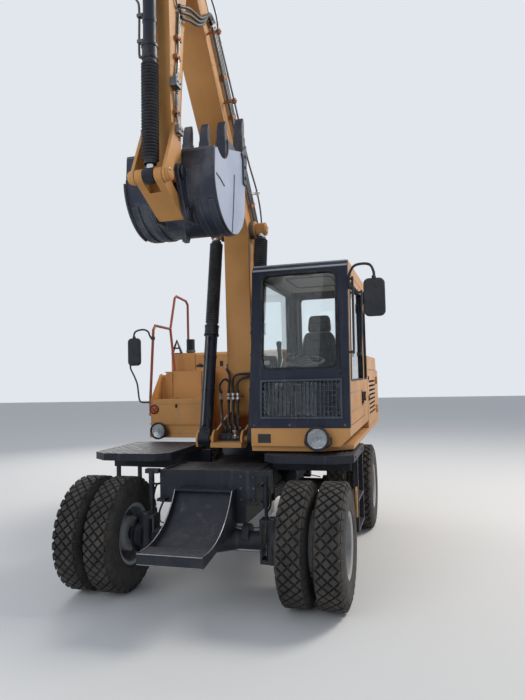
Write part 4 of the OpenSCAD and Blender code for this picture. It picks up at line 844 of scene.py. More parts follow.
def cushion(name, half, middle, face, seams, taper=0.0, upright=False, power=5.0, n=26):
    """A stuffed pad with crowned faces and sewn grooves across its broad face. An upright pad leans by 10 degrees."""
    index, verts, faces = {}, [], []
    axis, sign = face
    s, c = sin(radians(10)), cos(radians(10))

    def shape(p):
        r = sum(abs(v) ** power for v in p) ** (1 / power)
        q = [v / r for v in p]
        if q[axis] * sign > 0.1:
            q[axis] += sign * 0.20 * exp(-((abs(q[0]) - 0.80) / 0.13) ** 2)
            groove = max([exp(-((q[u] - at) / 0.035) ** 2) for u, at in seams] + [0])
            q[axis] -= sign * 0.22 * groove
            q[axis] += sign * 0.05 * sin(9 * q[0] + 3) * sin(7 * q[1] + 5 * q[2])
        q[0] *= 1 - taper * (q[2] + 1) / 2
        x, y, z = (m + v * h for m, v, h in zip(middle, q, half))
        return (x, SEAT_Y + 250 + y * c + z * s, FLOOR_IN + 410 - y * s + z * c) if upright else (x, y, z)

    for a in range(3):
        for side in (-1, 1):
            for i in range(n):
                for j in range(n):
                    quad = []
                    for di, dj in ((0, 0), (1, 0), (1, 1), (0, 1)):
                        p = [0, 0, 0]
                        p[a], p[(a + 1) % 3], p[(a + 2) % 3] = side, -1 + 2 * (i + di) / n, -1 + 2 * (j + dj) / n
                        key = tuple(p)
                        if key not in index:
                            index[key] = len(verts)
                            verts.append(shape(p))
                        quad.append(index[key])
                    faces.append(quad)
    kit = Kit(name, "upper", "cloth", 60)
    kit.add(verts, faces)
    obj = kit.done()
    return obj


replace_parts(cushion("seat_cushion", (240, 250, 61), (SEAT_X, SEAT_Y + 20, FLOOR_IN + 390), (2, 1),
                    [(0, -0.62), (0, 0.62), (1, -0.35), (1, 0.25)]), "seat")
cushion("seat_back", (220, 60, 252), (SEAT_X, 10, 250), (1, -1),
        [(0, -0.60), (0, 0.60), (2, -0.4), (2, 0.1), (2, 0.55)], 0.22, True)
cushion("headrest", (132, 42, 97), (SEAT_X, 20, 594), (1, -1), [(2, 0.0)], 0.12, True)
for name, x in (("armrest_right", SEAT_X - 258), ("armrest_left", SEAT_X + 258)):
    cushion(name, (34, 150, 24), (x, SEAT_Y + 110, FLOOR_IN + 640), (2, 1), [], power=4.0, n=12)
with Kit("seat_base", "upper", "plastic", 40, 0.003) as k:
    for i in range(9):
        z, w = FLOOR_IN + 40 + i * 26, 170 if i % 2 else 156
        k.slab(rounded(SEAT_X - w, SEAT_X + w, SEAT_Y + 50 - w, SEAT_Y + 90 + w, 24), z, z + 26)
    k.slab(rounded(SEAT_X - 180, SEAT_X + 180, SEAT_Y - 125, SEAT_Y + 262, 20), FLOOR_IN, FLOOR_IN + 40)
    k.block((SEAT_X - 200, SEAT_Y - 200, FLOOR_IN + 274), (SEAT_X + 200, SEAT_Y + 262, FLOOR_IN + 332))
    for s in (-1, 1):
        k.tube([(SEAT_X + s * x, SEAT_Y + y, FLOOR_IN + z) for x, y, z in (
            (232, 230, 400), (258, 250, 560), (258, 180, 622))], 14, 10)
        x = SEAT_X + s * 60
        k.bar((x, SEAT_Y + 352, FLOOR_IN + 890), (x, SEAT_Y + 366, FLOOR_IN + 960), 8, 10)

# Mirrors: rounded heads on arched arms, the right arm with a clamp on the handrail
kit = Kit("mirror_arms", "upper", "plastic", 50)
arm_x, arm_z, rail_y = CAB_X1 + 10.9, CAB_TOP - 150, -615
kit.tube([(x, CAB_Y0 + y, arm_z + z) for x, y, z in (
    (arm_x, 158, -95), (arm_x + 2, 150, -10), (arm_x + 52, 80, 58), (arm_x + 130, 22, 66), (1462, -20, 44),
    (1492.5, -25, -20), (1492.5, -25, -82))], 12, 12)
kit.bar((arm_x - 1, CAB_Y0 + 158, arm_z - 130), (arm_x - 1, CAB_Y0 + 158, arm_z - 60), 16, 14, 3)


def rail_at(z):
    """A place on the leaning handrail at a height."""
    return Vector((-1241.3 + 51.3 * (z - 1700) / 800, rail_y, z))


kit.lathe(rail_at(2380), rail_at(2420) - rail_at(2380), [(16.3, 0), (24, 0), (24, 40), (16.3, 40), (16.3, 0)], 20)
clamp_x = rail_at(2400).x - 29
kit.tube([(x, rail_y + y, z) for x, y, z in (
    (clamp_x + 6, 0, 2400), (clamp_x - 20, 8, 2440), (clamp_x - 45, 22, 2482), (-1340, 40, 2512), (-1440, 52, 2500),
    (-1475, 55, 2462), (-1475, 55, 2400))], 11, 12)
kit.tube([(-1530, -562, 2090), (-1520, -570, 2040), (-1462, -586, 1945), (-1424, -590, 1850), (-1410, -592, 1740),
          (-1392, -596, 1660), (-1350, -600, 1640), (-1288, -600, 1638), (-1224, -600, 1626)], 10, 12)
for x, y, z in ((-1475, rail_y + 55, 2415), (1492.5, CAB_Y0 - 25, 2745)):
    kit.bar((x, y, z - 12), (x, y, z + 22), 19, 14, 4)
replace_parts(kit.done(), "mirrors")
HEADS = ((1400, 1585, -1770, 2410.3, 2745.3), (-1560, -1390, -580, 2080, 2415))  # x0, x1, y, z0, z1
with Kit("mirror_heads", "upper", "plastic") as k:
    for x0, x1, y0, z0, z1 in HEADS:
        verts = []
        for inset, depth in ((9, 40), (2, 36), (0, 26), (0, 18), (4, 9), (14, 3), (34, 0)):
            ring = rounded(x0 + inset, x1 - inset, z0 + inset, z1 - inset, max(48 - inset, 8), 6)
            verts += [(x, y0 + depth, z) for x, z in ring]
        m = len(ring)
        k.add(verts, bands(7, m) + [list(range(6 * m, 7 * m)), list(range(m))])
with Kit("mirror_glasses", "upper", "mirror") as k:
    for x0, x1, y0, z0, z1 in HEADS:
        pane = [(x, y0 + 40.4, z) for x, z in rounded(x0 + 12, x1 - 12, z0 + 12, z1 - 12, 38, 6)]
        k.add(pane, [list(range(len(pane)))])

# Work lamps
LAMPS = ((960, CAB_Y0 - 0.3, 1352.3, 100), (-1100, -640.3, 1312.3, 90))  # place and radius
with Kit("lamp_bezels", "upper", "plastic") as k:
    for x, y, z, r in LAMPS:
        k.lathe((x, y, z), FORE, [(0.36 * r, 1), (0.62 * r, 19), (r + 3, 52), (r + 8, 58), (r + 8, 86), (r + 3, 91),
                                  (r - 7, 89), (r - 8, 76)], 48)
        k.lathe((x, y, z), FORE, [(r - 7.5, 76), (r - 12, 74.8)], 48)
        k.bolts(round_places((x, y - 88, z), Y, 3, r + 4, pi / 2), FORE, 5, 4)
        guard = [(-r - 14, -30, 10), (-r - 14, -40, -0.5 * r), (-0.5 * r, -40, -0.9 * r), (0, -40, -r)]
        guard += [(-a, b, c) for a, b, c in guard[2::-1]]
        k.tube([(x + a, y + b, z + c) for a, b, c in guard], 6, 8)
        k.bar((x, y - 42, z - r + 4), (x, y - 2, z - r + 10), 9, 10)
with Kit("lamp_reflectors", "upper", "lamp", 20) as k:
    for *p, r in LAMPS:
        k.lathe(p, FORE, [(r - 8, 75.4), (r - 14, 77.5), (0.70 * r, 75.6), (0.66 * r, 78), (0.42 * r, 75.8),
                          (0.38 * r, 78.4), (0.16 * r, 76), (0.13 * r, 82), (0, 84)], 48)
with Kit("lamp_lenses", "upper", "clear") as k:
    for *p, r in LAMPS:
        k.lathe(p, FORE, [(0, 95), (0.3 * r, 94.4), (0.6 * r, 92), (0.82 * r, 88), (r - 8, 82), (r - 8, 80.4),
                          (0.82 * r, 86), (0.6 * r, 90), (0.3 * r, 92.4), (0, 93)], 48)


# Boom, arm and their lines
def along(a, b, t, side=0.0):
    """A (Y, Z) point at a share of the way from a to b, moved sideways to the left of that way."""
    d = Vector((b[0] - a[0], b[1] - a[1]))
    n = Vector((-d.y, d.x)).normalized()
    return (a[0] + d.x * t + n.x * side, a[1] + d.y * t + n.y * side)


def pin_cap(kit, p, x, side, r, bolts):
    """A pin's end: keeper plate, domed head and its bolts."""
    out = (side, 0, 0)
    kit.lathe((x, *p), out, [(r, 0), (r, 7), (r - 4, 10), (r * 0.6, 10), (r * 0.55, 13), (0, 13)], 32)
    kit.bolts(round_places((x + side * 10, *p), X, bolts, 0.76 * r, 0.5), out, 6, 6)


def pin_caps(name, body, mat, caps):
    """Caps on both sides; each row is pin, X, radius and number of bolts."""
    with Kit(name, body, mat) as k:
        for s in (-1, 1):
            for p, x, r, bolts in caps:
                pin_cap(k, p, s * x, s, r, bolts)


with Kit("boom_welds", "boom", "paint", 60) as k:
    back = [(-585, 1680), (-540, 3200), (-655, 3720), (-2499.8, 5656.3)]
    belly = [(-850, 1560), (-988, 1950), (-1010, 3440), (-2640, 5475)]
    seam = [along((-1010, 3440), (-2680, 5523), 0.62, -6), along((-655, 3720), (-2500, 5656), 0.60, 6)]
    for x in (-135, 135):
        k.tube([(x, y + 14, z - 4) for y, z in belly], 6, 6, 0)
        k.tube([(x, y - 14, z - 8) for y, z in back], 6, 6, 0)
        k.tube([(x, -985, 3376), (x, -570, 3376)], 5, 6, 1)
        k.tube([(x, *p) for p in seam], 5, 6, 1)
    k.tube([(-120, -1004, 3376), (120, -1004, 3376)], 5, 6, 1)
with Kit("boom_pin_caps", "boom", "iron") as k:
    for s in (-1, 1):
        k.lathe((s * 190, *LIFT_EYE), (s, 0, 0), [(92, -50), (96, -46), (96, -8), (90, 0)], 40)
        pin_cap(k, CROWD_FOOT, s * 80, s, 30, 0)
with Kit("lift_eyes", "lift_rods", "paint") as k:
    for x, s in zip(LIFT_X, (-1, 1)):
        k.lathe((x, *LIFT_EYE), X, [(41, -53.4), (70, -53.4), (71, -48), (71, 48), (70, 53.4), (41, 53.4)], 48)
        pin_cap(k, LIFT_EYE, x + s * 53.2, s, 52, 3)
with Kit("grease_nipples", "boom", "bright") as k:
    nipple = [(6, 6), (3, 8), (4, 14), (0, 16)]
    for x in (-120, 120):
        k.lathe((x, -900, 3594), Z, [(6, -4), *nipple], 8)
    k.lathe((136, -760, 1748), X, [(6, -2), *nipple], 8)

# The fourth pipe near the boom's back edge, all clamps, and unions on the pipes
PIPE_FOOT = [(-785 + 45 * i, 3530 + 20 * i) for i in range(3)]
PIPE_TOP = [(-2075 + 32 * i, 5077 + 24 * i) for i in range(3)]
with Kit("boom_pipe_off", "boom", "pipe", 60) as k:
    k.tube([(150, -2330, 5330), (200, -2290, 5290), (235, -2156, 5112), (235, -2091, 4960), (235, -1914, 4772),
            (235, -1670, 4530), (235, -1279, 4128), (235, -970, 3893), (228, -800, 3660), (190, -690, 3420),
            (165, -632, 3200), (165, -626, 2440)], 9, 10)
with Kit("boom_pipe_clamps", "boom", "clamp", 40, 0.002) as k:
    for y, z in ((-2100, 4985), (-1690, 4550)):
        k.block((134, y - 40, z - 5), (250, y + 30, z + 5), 46)
        k.block((216, y - 20, z - 20), (254, y + 20, z + 20), 46)
        k.bolt((254, y, z), X, 7, 7)
    for z in (2900, 2500):
        k.block((136, -650, z - 14), (178, -600, z + 14))
    for share in (0.14, 0.38, 0.60, 0.78):
        for a, b in zip(PIPE_FOOT, PIPE_TOP):
            y, z = along(a, b, share)
            k.block((151, y - 20, z - 17), (180, y + 20, z + 17), 40)
        k.bolt((152, *along(PIPE_FOOT[1], PIPE_TOP[1], share, 30)), X, 8, 30)
    for z in (2480, 3220):
        k.block((151, -812, z - 16), (181, -668, z + 16))
        k.bolts([(181, y, z) for y in (-762, -717)], X, 8, 7)
with Kit("boom_pipe_bracket", "boom", "bright", 40, 0.002) as k:
    k.block((134, -990, 3880), (262, -930, 3888), 40)
    k.block((218, -984, 3868), (256, -936, 3906), 40)
    k.bolt((256, -960, 3887), X, 9, 9)
with Kit("pipe_unions", "boom", "bright") as k:
    for foot, top in zip(PIPE_FOOT, PIPE_TOP):
        for z in (2302, 2346):
            k.lathe((164.6, foot[0], z), Z, [(15, 0), (20, 2), (20, 26), (15, 28)], 6)
        k.lathe((164.6, *top), (0, -0.64, 0.77), [(15, -20), (20, -18), (20, 8), (15, 12), (15, 30)], 6)


# Hoses
def hose(name, points, r, a, b=None):
    """A hose with crimped ends, on one body; given a second body, it rides on neither and keeps its shape."""
    kit = Kit(name, None if b else a, "hose", 60)
    kit.tube(points, r, 12, 8)
    for p, q in ((points[0], points[1]), (points[-1], points[-2])):
        d = (Vector(q) - Vector(p)).normalized()
        kit.lathe(Vector(p) - d * 2, d, [(0, 0), (r + 1, 0), (r + 4, 6), (r + 4, 34), (r + 1, 40), (r - 1, 40)], 12)
    obj = kit.done()
    if b:
        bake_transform(obj)


PLACES = (-196, -112, -61, -10)  # X of the four hoses at the boom's foot
for i, (x0, x) in enumerate(zip(MANIFOLD_X, PLACES)):
    hose("hose_manifold_%d" % (i + 1), [
        (x0, -1250, 1391), (0.7 * x0 + 0.3 * x, -1240, 1450), (0.3 * x0 + 0.7 * x, -1130, 1530), (x, -1050, 1610),
        (x, -1040, 1680)], 14, "upper", "boom")
with Kit("foot_fittings", "boom", "bright") as k:
    for x in PLACES:
        k.lathe((x, -1040, 1676), Z, [(14, 0), (21, 3), (21, 24), (15, 28), (15, 46), (20, 49), (20, 68), (14, 72)], 6)
with Kit("foot_bracket", "boom", "iron", 40, 0.002) as k:
    k.block((-136, -1056, 1708), (18, -1024, 1716))
    k.block((-120, -1030, 1702), (-60, -880, 1712))
    k.block((-10, -1030, 1702), (16, -880, 1712))
for i, points in enumerate((
        [(-214, -1040, 1800), (-210, -1020, 1850), (-190, -960, 1890), (-170, -900, 1880), (-156, -850, 1810),
         (-156, -800, 1700)],
        [(-104, -1046, 1820), (-94, -1046, 1890), (-104, -1040, 1950), (-140, -1010, 1998), (-162, -930, 2040),
         (-154, -850, 2130), (-148, -800, 2260)],
        [(-66, -1046, 1820), (-60, -1048, 1890), (-20, -1036, 1935), (50, -1022, 1945), (118, -1014, 1948),
         (160, -980, 1968), (176, -880, 2050), (166, -800, 2180), (164.6, -785, 2306)],
        [(-16, -1044, 1800), (-8, -1040, 1850), (30, -1022, 1890), (96, -1008, 1910), (148, -992, 1930),
         (178, -920, 1960), (176, -810, 2060), (166, -750, 2180), (164.6, -740, 2306)])):
    hose("foot_loop_%d" % (i + 1), [(PLACES[i], -1040, 1742)] + points, 13, "boom")
hose("hose_boom_foot", [(164.6, -695, 2304), (165, -692, 2180), (178, -660, 1980), (196, -540, 1760), (200, -380, 1560),
                        (200, -310, 1400), (200, -280, 1276)], 14, "upper", "boom")
for i, (y, z) in enumerate(PIPE_TOP):
    hose("hose_arm_%d" % (i + 1), [
        (164.6, y, z), (168, y - 110, z + 20), (172, -2300 + 30 * i, 4950 + 50 * i),
        (170, -2440 + 30 * i, 4850 + 50 * i), (160, -2580, 4800 + 50 * i), (134, -2700 - 20 * i, 4760 + 34 * i)],
        13, "boom", "arm")

# Arm
with Kit("arm_welds", "arm", "paint", 60) as k:
    for x in (-108, 108):
        k.tube([(x, -2846, 4520), (x, -2858, 4003)], 5, 6, 0)
        k.tube([(x, -2588, 4715), (x, -2683, 3992)], 5, 6, 0)
        k.tube([(x, -2852, 4300), (x, -2650, 4300)], 4, 6, 1)
with Kit("arm_valves", "arm", "pipe", 30, 0.003) as k:
    for y, z in ((-2870, 4155), (-2845, 3800)):
        k.block((108, y - 10, z - 34), (168, y + 78, z + 30))
        k.lathe((140, y + 30, z + 30), Z, [(18, 0), (18, 14), (13, 16), (13, 40), (0, 42)], 6)
        k.lathe((140, y + 60, z - 34), (0, 0, -1), [(15, 0), (15, 16), (10, 18), (10, 34), (0, 36)], 6)
        k.bolts([(168, y + 10, z), (168, y + 52, z)], X, 8, 8)
with Kit("arm_pipes", "arm", "pipe", 60) as k:
    for i in range(2):
        k.tube([(126, -2700 - 20 * i, 4762 + 34 * i), (126, -2722 - 18 * i, 4600), (130, -2778 + 16 * i, 4300),
                (134, -2812 + 24 * i, 4222)], 9, 10)
        k.tube([(134, -2812 + 24 * i, 4118), (128, -2800 + 24 * i, 3990), (132, -2792 + 22 * i, 3850)], 9, 10)
    k.tube([(126, -2740, 4828), (124, -2860, 4990), (124, -2905, 5180), (122, -2930, 5290)], 9, 10)
with Kit("arm_clamps", "arm", "clamp", 40, 0.002) as k:
    for y, z in ((-2745, 4560), (-2766, 4400), (-2790, 3950)):
        k.block((110, y - 34, z - 14), (142, y + 40, z + 14))
        k.bolt((142, y + 4, z), X, 7, 6)
pin_caps("arm_pin_caps", "arm", "iron", ((TIP, 135, 56, 3), (CURL_FOOT, 80, 40, 2), (LEVER, 110, 44, 3)))


def cylinder_details(name, a, b, x_places, r, length, body, eye, port_side):
    """Gland rings, ports and feed pipe of a cylinder; its ports face up or, with -1, down."""
    d = Vector((0, b[0] - a[0], b[1] - a[1])).normalized()
    up = Vector((0, -d.z, d.y)) * port_side
    ring, port = Kit(name + "_glands", body, "dark"), Kit(name + "_ports", body, "pipe", 50)
    for x in x_places:
        o = Vector((x, *a))
        ring.lathe(o + d * (length - 116), d, [(r + 2, 0), (r + 14, 3), (r + 14, 20), (r + 9, 23)], 48)
        ring.lathe(o + d * (length - 22), d, [(r + 8, 0), (r + 12, 2), (r + 12, 16), (r + 7, 20), (r + 7, 21.5)], 48)
        for t in (tau * i / 8 for i in range(8)):
            ring.bolt(o + d * (length - 96) + (Vector((cos(t), 0, 0)) + up * sin(t)) * (r + 4), d, 7, 8)
        for h in (eye + 60, length - 150):
            ring.lathe(o + d * h + up * (r - 6), up, [(20, 0), (20, 26), (16, 30), (0, 30)], 16)
        feed = o + up * (r + 16)
        port.tube([feed + d * h + up * lift for h, lift in (
            (eye + 60, 0), (eye + 60, 16), (eye + 110, 20), (length * 0.6, 14), (length - 170, 16), (length - 150, 8))],
            9, 10)
        for share in (0.4, 0.7):
            ring.lathe(o + d * (length * share), d, [(r, 0), (r + 4, 2), (r + 4, 28), (r, 30)], 40)
            c = feed + d * (length * share + 15)
            ring.bar(c - up * 18, c + up * 12, 12, 12, 2)
    ring.done()
    port.done()


cylinder_details("lift", LIFT_FOOT, LIFT_EYE, LIFT_X, 65, 1190, "lift_barrels", 72, 1)
cylinder_details("crowd", CROWD_FOOT, LEVER, (0,), 62, 1840, "crowd_barrel", 66, -1)
cylinder_details("curl", CURL_FOOT, LINK_PIN, (0,), 50, 1050, "curl_barrel", 58, 1)
# Painted shade: the ring over the curl rod's eye is in dark paint to stand for the shade it sits in
with Kit("curl_eye_painted_shade", "curl_rod", "dark") as k:
    k.lathe((0, *LINK_PIN), X, [(55.5, -38), (57, -38), (58, -34), (58, 34), (57, 38), (55.5, 38)], 48)
with Kit("rocker_caps", "rockers", "paint") as k:
    for s in (-1, 1):
        pin_cap(k, ROCKER_PIN, s * 146, s, 48, 3)
        pin_cap(k, LINK_PIN, s * 157, s, 46, 3)
        k.lathe((s * 138, *ROCKER_PIN), (s, 0, 0), [(50, 0), (50, 5), (46, 8), (46, 8.5)], 36)
pin_caps("bucket_pin_caps", "bucket", "dark", ((BUCKET_PIN, 153, 52, 3), (EAR_PIN, 157, 40, 2)))
with Kit("link_welds", "push_link", "paint", 60) as k:
    for x in (-106, 106):
        k.tube([(x, -2965, 3350), (x, -2690, 3205)], 4, 6, 1)

# Bucket
LIP = (-1870, 3960)
BUCKET_R, SIDE = 392, 380  # radius of the curled plate and half of the width


def from_lip(points):
    return [(LIP[0] + y, LIP[1] + z) for y, z in points]


def arc(a0, a1, r, n, c=(-2285, 3505)):
    """Points of an arc round the bucket's middle, by angles in degrees."""
    turns = (radians(a0 + (a1 - a0) * i / n) for i in range(n + 1))
    return [(c[0] + r * cos(t), c[1] + r * sin(t)) for t in turns]


# Painted sunlight: a thin pale overlay on the bucket's left side plate only, standing for the sun on that side
with Kit("bucket_side_painted_sunlight", "bucket", "side", 30) as k:
    s0, s1 = atan2(3719.9 - 3850, -2599.4 + 2490), atan2(3810.4 - 3850, -2324.7 + 2490)
    scoop = [(-2490 + 172 * cos(t), 3850 + 172 * sin(t)) for t in (s0 + (s1 - s0) * i / 16 for i in range(17))]
    k.plate(from_lip([(-6, -8)]) + arc(0, -180, BUCKET_R - 4, 36) + [(-2655, 3698)] + scoop, SIDE, SIDE + 2.5)
with Kit("bucket_seams_and_shadow_lines", "bucket", "iron", 60) as k:
    # Partly painted shadow: weld beads on the left side plate, coloured dark iron to stand for the shadow lines they
    # cast on the pale side plate
    for p, q in (((-2195, 3638), (-2286, 3120)), ((-2644, 3499), (-2462, 3456))):
        k.tube([(383, *p), (383, *along(p, q, 0.5, 6)), (383, *q)], 6.5, 6)
    for x in (-379, 379):
        k.tube([(x, *p) for p in arc(2, -182, BUCKET_R + 1, 48)], 4, 6, 0)
    for x in (-146, -114, 114, 146):
        k.tube([(x, *p) for p in arc(-118, -186, BUCKET_R + 2, 20)], 5, 6, 0)
with Kit("bucket_wear_strips", "bucket", "bucket", 30, 0.003) as k:
    for x in (-330, -210, 210, 330):
        k.plate(arc(-150, -8, BUCKET_R + 12, 30) + arc(-8, -150, BUCKET_R - 2, 30), x - 28, x + 28)
    k.plate(arc(-178, -95, BUCKET_R + 14, 20) + arc(-95, -178, BUCKET_R - 90, 20), -SIDE - 18, -SIDE)
    edge = from_lip([(6, 60), (16, -60)]) + [(-1884, 3640), (-1960, 3640), (-1960, 3860), (-2000, 3905), (-1925, 3960)]
    for x in (-SIDE - 18, SIDE):
        k.plate(edge, x, x + 18)
with Kit("bucket_bolts", "bucket", "iron", 30) as k:
    for s in (-1, 1):
        k.bolts([(s * 398, y, z) for y, z in ((-1915, 3900), (-1920, 3800), (-1922, 3700))], (s, 0, 0), 13, 12)
TEETH = [-335 + 167.5 * i for i in range(5)]
with Kit("tooth_tips", "bucket", "bucket", 25, 0.009) as k:
    outline = from_lip([(-56, 120), (-52, 190), (-34, 262), (-2, 318), (14, 320), (26, 262), (26, 190), (20, 120)])
    for x in TEETH:
        k.plate(outline, x - 40, x + 40)
with Kit("tooth_sockets", "bucket", "bucket", 25, 0.006) as k:
    outline = from_lip([(-62, -112), (-60, 96), (-50, 142), (24, 142), (26, 60), (14, -118)])
    for x in TEETH:
        k.plate(outline, x - 46, x + 46)
with Kit("tooth_pins", "bucket", "iron") as k:
    y, z = from_lip([(-18, 108)])[0]
    for x in TEETH:
        k.bar((x - 50, y, z), (x + 50, y, z), 11, 14, 2)
with Kit("bucket_lip_bar", "bucket", "bucket", 30, 0.004) as k:
    k.tube([(-378, -2652, 3706), (378, -2652, 3706)], 14, 10, 1)
    k.block((-379, -2672, 3560), (379, -2664, 3700), -4)


# Upper works
def chequer(kit, x0, x1, y0, y1, z, step=46, h=2.4, inside=lambda x, y: True):
    """Raised lozenges of tread plate where the test allows them."""
    for i in range(int((x1 - x0) / step)):
        for j in range(int((y1 - y0) / step)):
            x, y = x0 + (i + 0.5) * step, y0 + (j + 0.5) * step
            if inside(x, y):
                t = radians(45 if (i + j) % 2 else -45)
                u, w, c = Vector((cos(t), sin(t), 0)), Vector((-sin(t), cos(t), 0)), Vector((x, y, z - 0.4))
                top = Vector((0, 0, h + 0.4))
                kit.add([c - u * 15, c - w * 5, c + u * 15, c + w * 5, c - u * 7 + top, c + u * 7 + top],
                        [[0, 1, 5, 4], [1, 2, 5], [2, 3, 4, 5], [3, 0, 4]])


def latch(kit, p, axis, size):
    """A flush paddle latch on an upright wall: plate, paddle and lock."""
    p, a, w = Vector(p), Vector(axis), Vector(Z)
    s = a.cross(w)
    for up, wide, high, h0, h1 in ((0, 0.36, 0.55, -0.5, 4), (0.12, 0.22, 0.28, 3.5, 12)):
        c = p + w * size * up
        kit.add([c + s * i * size * wide + w * j * size * high + a * h
                 for i in (-1, 1) for j in (-1, 1) for h in (h0, h1)], BOX_FACES)
    kit.lathe(p - w * size * 0.36, axis, [(9, 3), (9, 8), (6, 9), (0, 9)], 14)


def flange(kit, p, r=34):
    """A rail's round foot with four bolts."""
    kit.lathe(p, Z, [(0, 0), (r, 0), (r, 5), (18, 7), (18, 12), (0, 12)])
    kit.bolts(round_places((p[0], p[1], p[2] + 4), Z, 4, 0.75 * r, pi / 4), Z, 4, 4)


with Kit("box_trim", "upper", "paint", 30, 0.002) as k:
    k.plate([(-638, 1634), (-345, 1634), (-345, 1978), (-398, 1970), (-638, 1690)], -1222, -1211)
    k.block((-1230, -660, 1378), (-576, -639, 1394))
    k.block((-1230, -648, 1394), (-576, -639, 1400))
    for x in (-1224, -590):
        k.block((x, -642.5, 1400), (x + 10, -639, 1628))
    for x in (-1100, -720):
        k.block((x, -343, 2000), (x + 20, -318, 1700))
with Kit("lid_details", "tool_box_lid", "paint", 30, 0.002) as k:
    k.block((-1203, -646, 1618), (-579, -641, 1668))
    for x in (-1060, -720):
        k.bar((x - 42, -355, 1674), (x + 42, -355, 1674), 9, 14, 2)
        k.block((x - 38, -430, 1670), (x + 38, -356, 1674))
with Kit("box_latches", "upper", "plastic", 30, 0.001) as k:
    latch(k, (-900, -641, 1596), FORE, 40)

# Lamps at the side and the rear
LENS, RIM = [(0, 20), (24, 18), (36, 8), (36, 0), (0, 0)], [(36, -8), (46, -8), (46, 10), (37, 12)]
with Kit("side_marker_lens", "upper", "amber") as k:
    k.lathe((-1178, -640.3, 1556), FORE, [(0, 22), (20, 21), (38, 15), (48, 6), (48, 0), (0, 0)], 32)
    for s in (-1, 1):
        k.lathe((s * 1010, 1866, 1640), (s * 0.47, 0.88, 0), LENS, 32)
with Kit("marker_rims", "upper", "plastic") as k:
    k.lathe((-1178, -640.3, 1556), FORE, [(48, 0), (56, 0), (56, 8), (49, 10)], 32)
    for s in (-1, 1):
        k.lathe((s * 1010, 1864, 1640), (s * 0.47, 0.88, 0), RIM, 32)
        k.lathe((s * 900, 1920, 1640), (s * 0.42, 0.907, 0), RIM, 32)
        k.block((s * 600 - 60, 2030, 1500), (s * 600 + 60, 2042, 1508))
with Kit("tail_lenses", "upper", "red") as k:
    for s in (-1, 1):
        k.lathe((s * 900, 1920, 1640), (s * 0.42, 0.907, 0), LENS, 32)
        x, y = s * 420, sqrt(2120 ** 2 - 420 ** 2)
        k.block((x - 50, y - 3, 1330), (x + 50, y + 4, 1372))

# Tank, rails, exhaust and grip on the decks
with Kit("tank_fittings", "upper", "plastic") as k:
    k.lathe((*TANK_CAP, 2049), Z, [(0, 0), (50, 0), (54, 4), (54, 26), (48, 32), (0, 34)], 12)
    k.bar((-800, -170, 2086), (-754, -170, 2086), 7, 10, 2)
    k.tube([(-1233, 10, 2244), (-1171, 12, 2404), (-1109, 10, 2244)], 18, 10, 0)
    k.block((-1204, 2, 2296), (-1138, 18, 2316))
    k.block((-1250, -8, 2239), (-1092, 28, 2245))
with Kit("tank_gauge", "upper", "clear") as k:
    k.bar((-640, -338, 1720), (-640, -338, 1930), 8, 14)
with Kit("tank_gauge_ends", "upper", "bright") as k:
    for z in (1700, 1926):
        k.lathe((-640, -338, z), Z, [(0, 0), (12, 0), (12, 24), (0, 24)], 6)
with Kit("rail_feet", "upper", "rail") as k:
    flange(k, (-1140, -140, 2000.3))
    flange(k, (*RAIL_FOOT, 2240.3))
    for z in (1500, 1650):
        k.block((-1243, -632, z - 18), (-1222, -598, z + 18))
        k.bolt((-1244, -615, z), (-1, 0, 0), 6, 22)
with Kit("exhaust_clamp", "upper", "iron") as k:
    k.lathe((*EXHAUST, 2262), Z, [(55, 0), (60, 1), (60, 24), (55, 25)], 40)
    k.lathe((*EXHAUST, 2240.5), Z, [(0, 0), (82, 0), (82, 6), (56, 9)], 40)
    k.bar((-1022, 228, 2274), (-1022, 272, 2274), 6, 8)
with Kit("catwalk_grip", "upper", "paint", 60) as k:
    chequer(k, -1240, -925, 40, 1370, 2240, inside=lambda *p: dist(p, EXHAUST) > 100 and dist(p, RAIL_FOOT) > 50)
    chequer(k, -1080, -680, -320, -10, 2000, inside=lambda *p: dist(p, TANK_CAP) > 70)

# Hood and doors
with Kit("hood_mesh", "engine_hood", "plastic", 60) as k:
    for x in range(-730, -40, 12):
        k.tube([(x, 628, 2226), (x, 1092, 2226)], 1.6, 4, 1)
    for y in range(632, 1096, 24):
        k.tube([(-735, y, 2223), (-40, y, 2223)], 1.6, 4, 1)
    k.block((-745, 612, 2214), (-25, 1108, 2216))
with Kit("hood_details", "engine_hood", "plastic", 40, 0.001) as k:
    for x in (-760, -460, 140):
        k.bar((x - 45, 1377, 2050), (x + 45, 1377, 2050), 9, 14, 2)
    for x in (-560, -60):
        latch(k, (x, 0.3, 2090), FORE, 60)
    k.tube([(-390, 2, 2110), (-390, -30, 2112), (-230, -30, 2112), (-230, 2, 2110)], 8, 8, 3)
for name, s, y0, y1 in (("pump_door", -1, 380, 1300), ("radiator_door", 1, 125, 1314.7)):
    with Kit(name + "_fittings", name, "plastic", 30, 0.001) as k:
        latch(k, (s * 1245, y0 + 60, 1620), (s, 0, 0), 64)
        latch(k, (s * 1245, y0 + 60, 1860), (s, 0, 0), 50)
        for z in range(1418, 1804, 55):
            k.block((s * 1223, y0 + 152, z), (s * 1241, y1 - 152, z + 6))

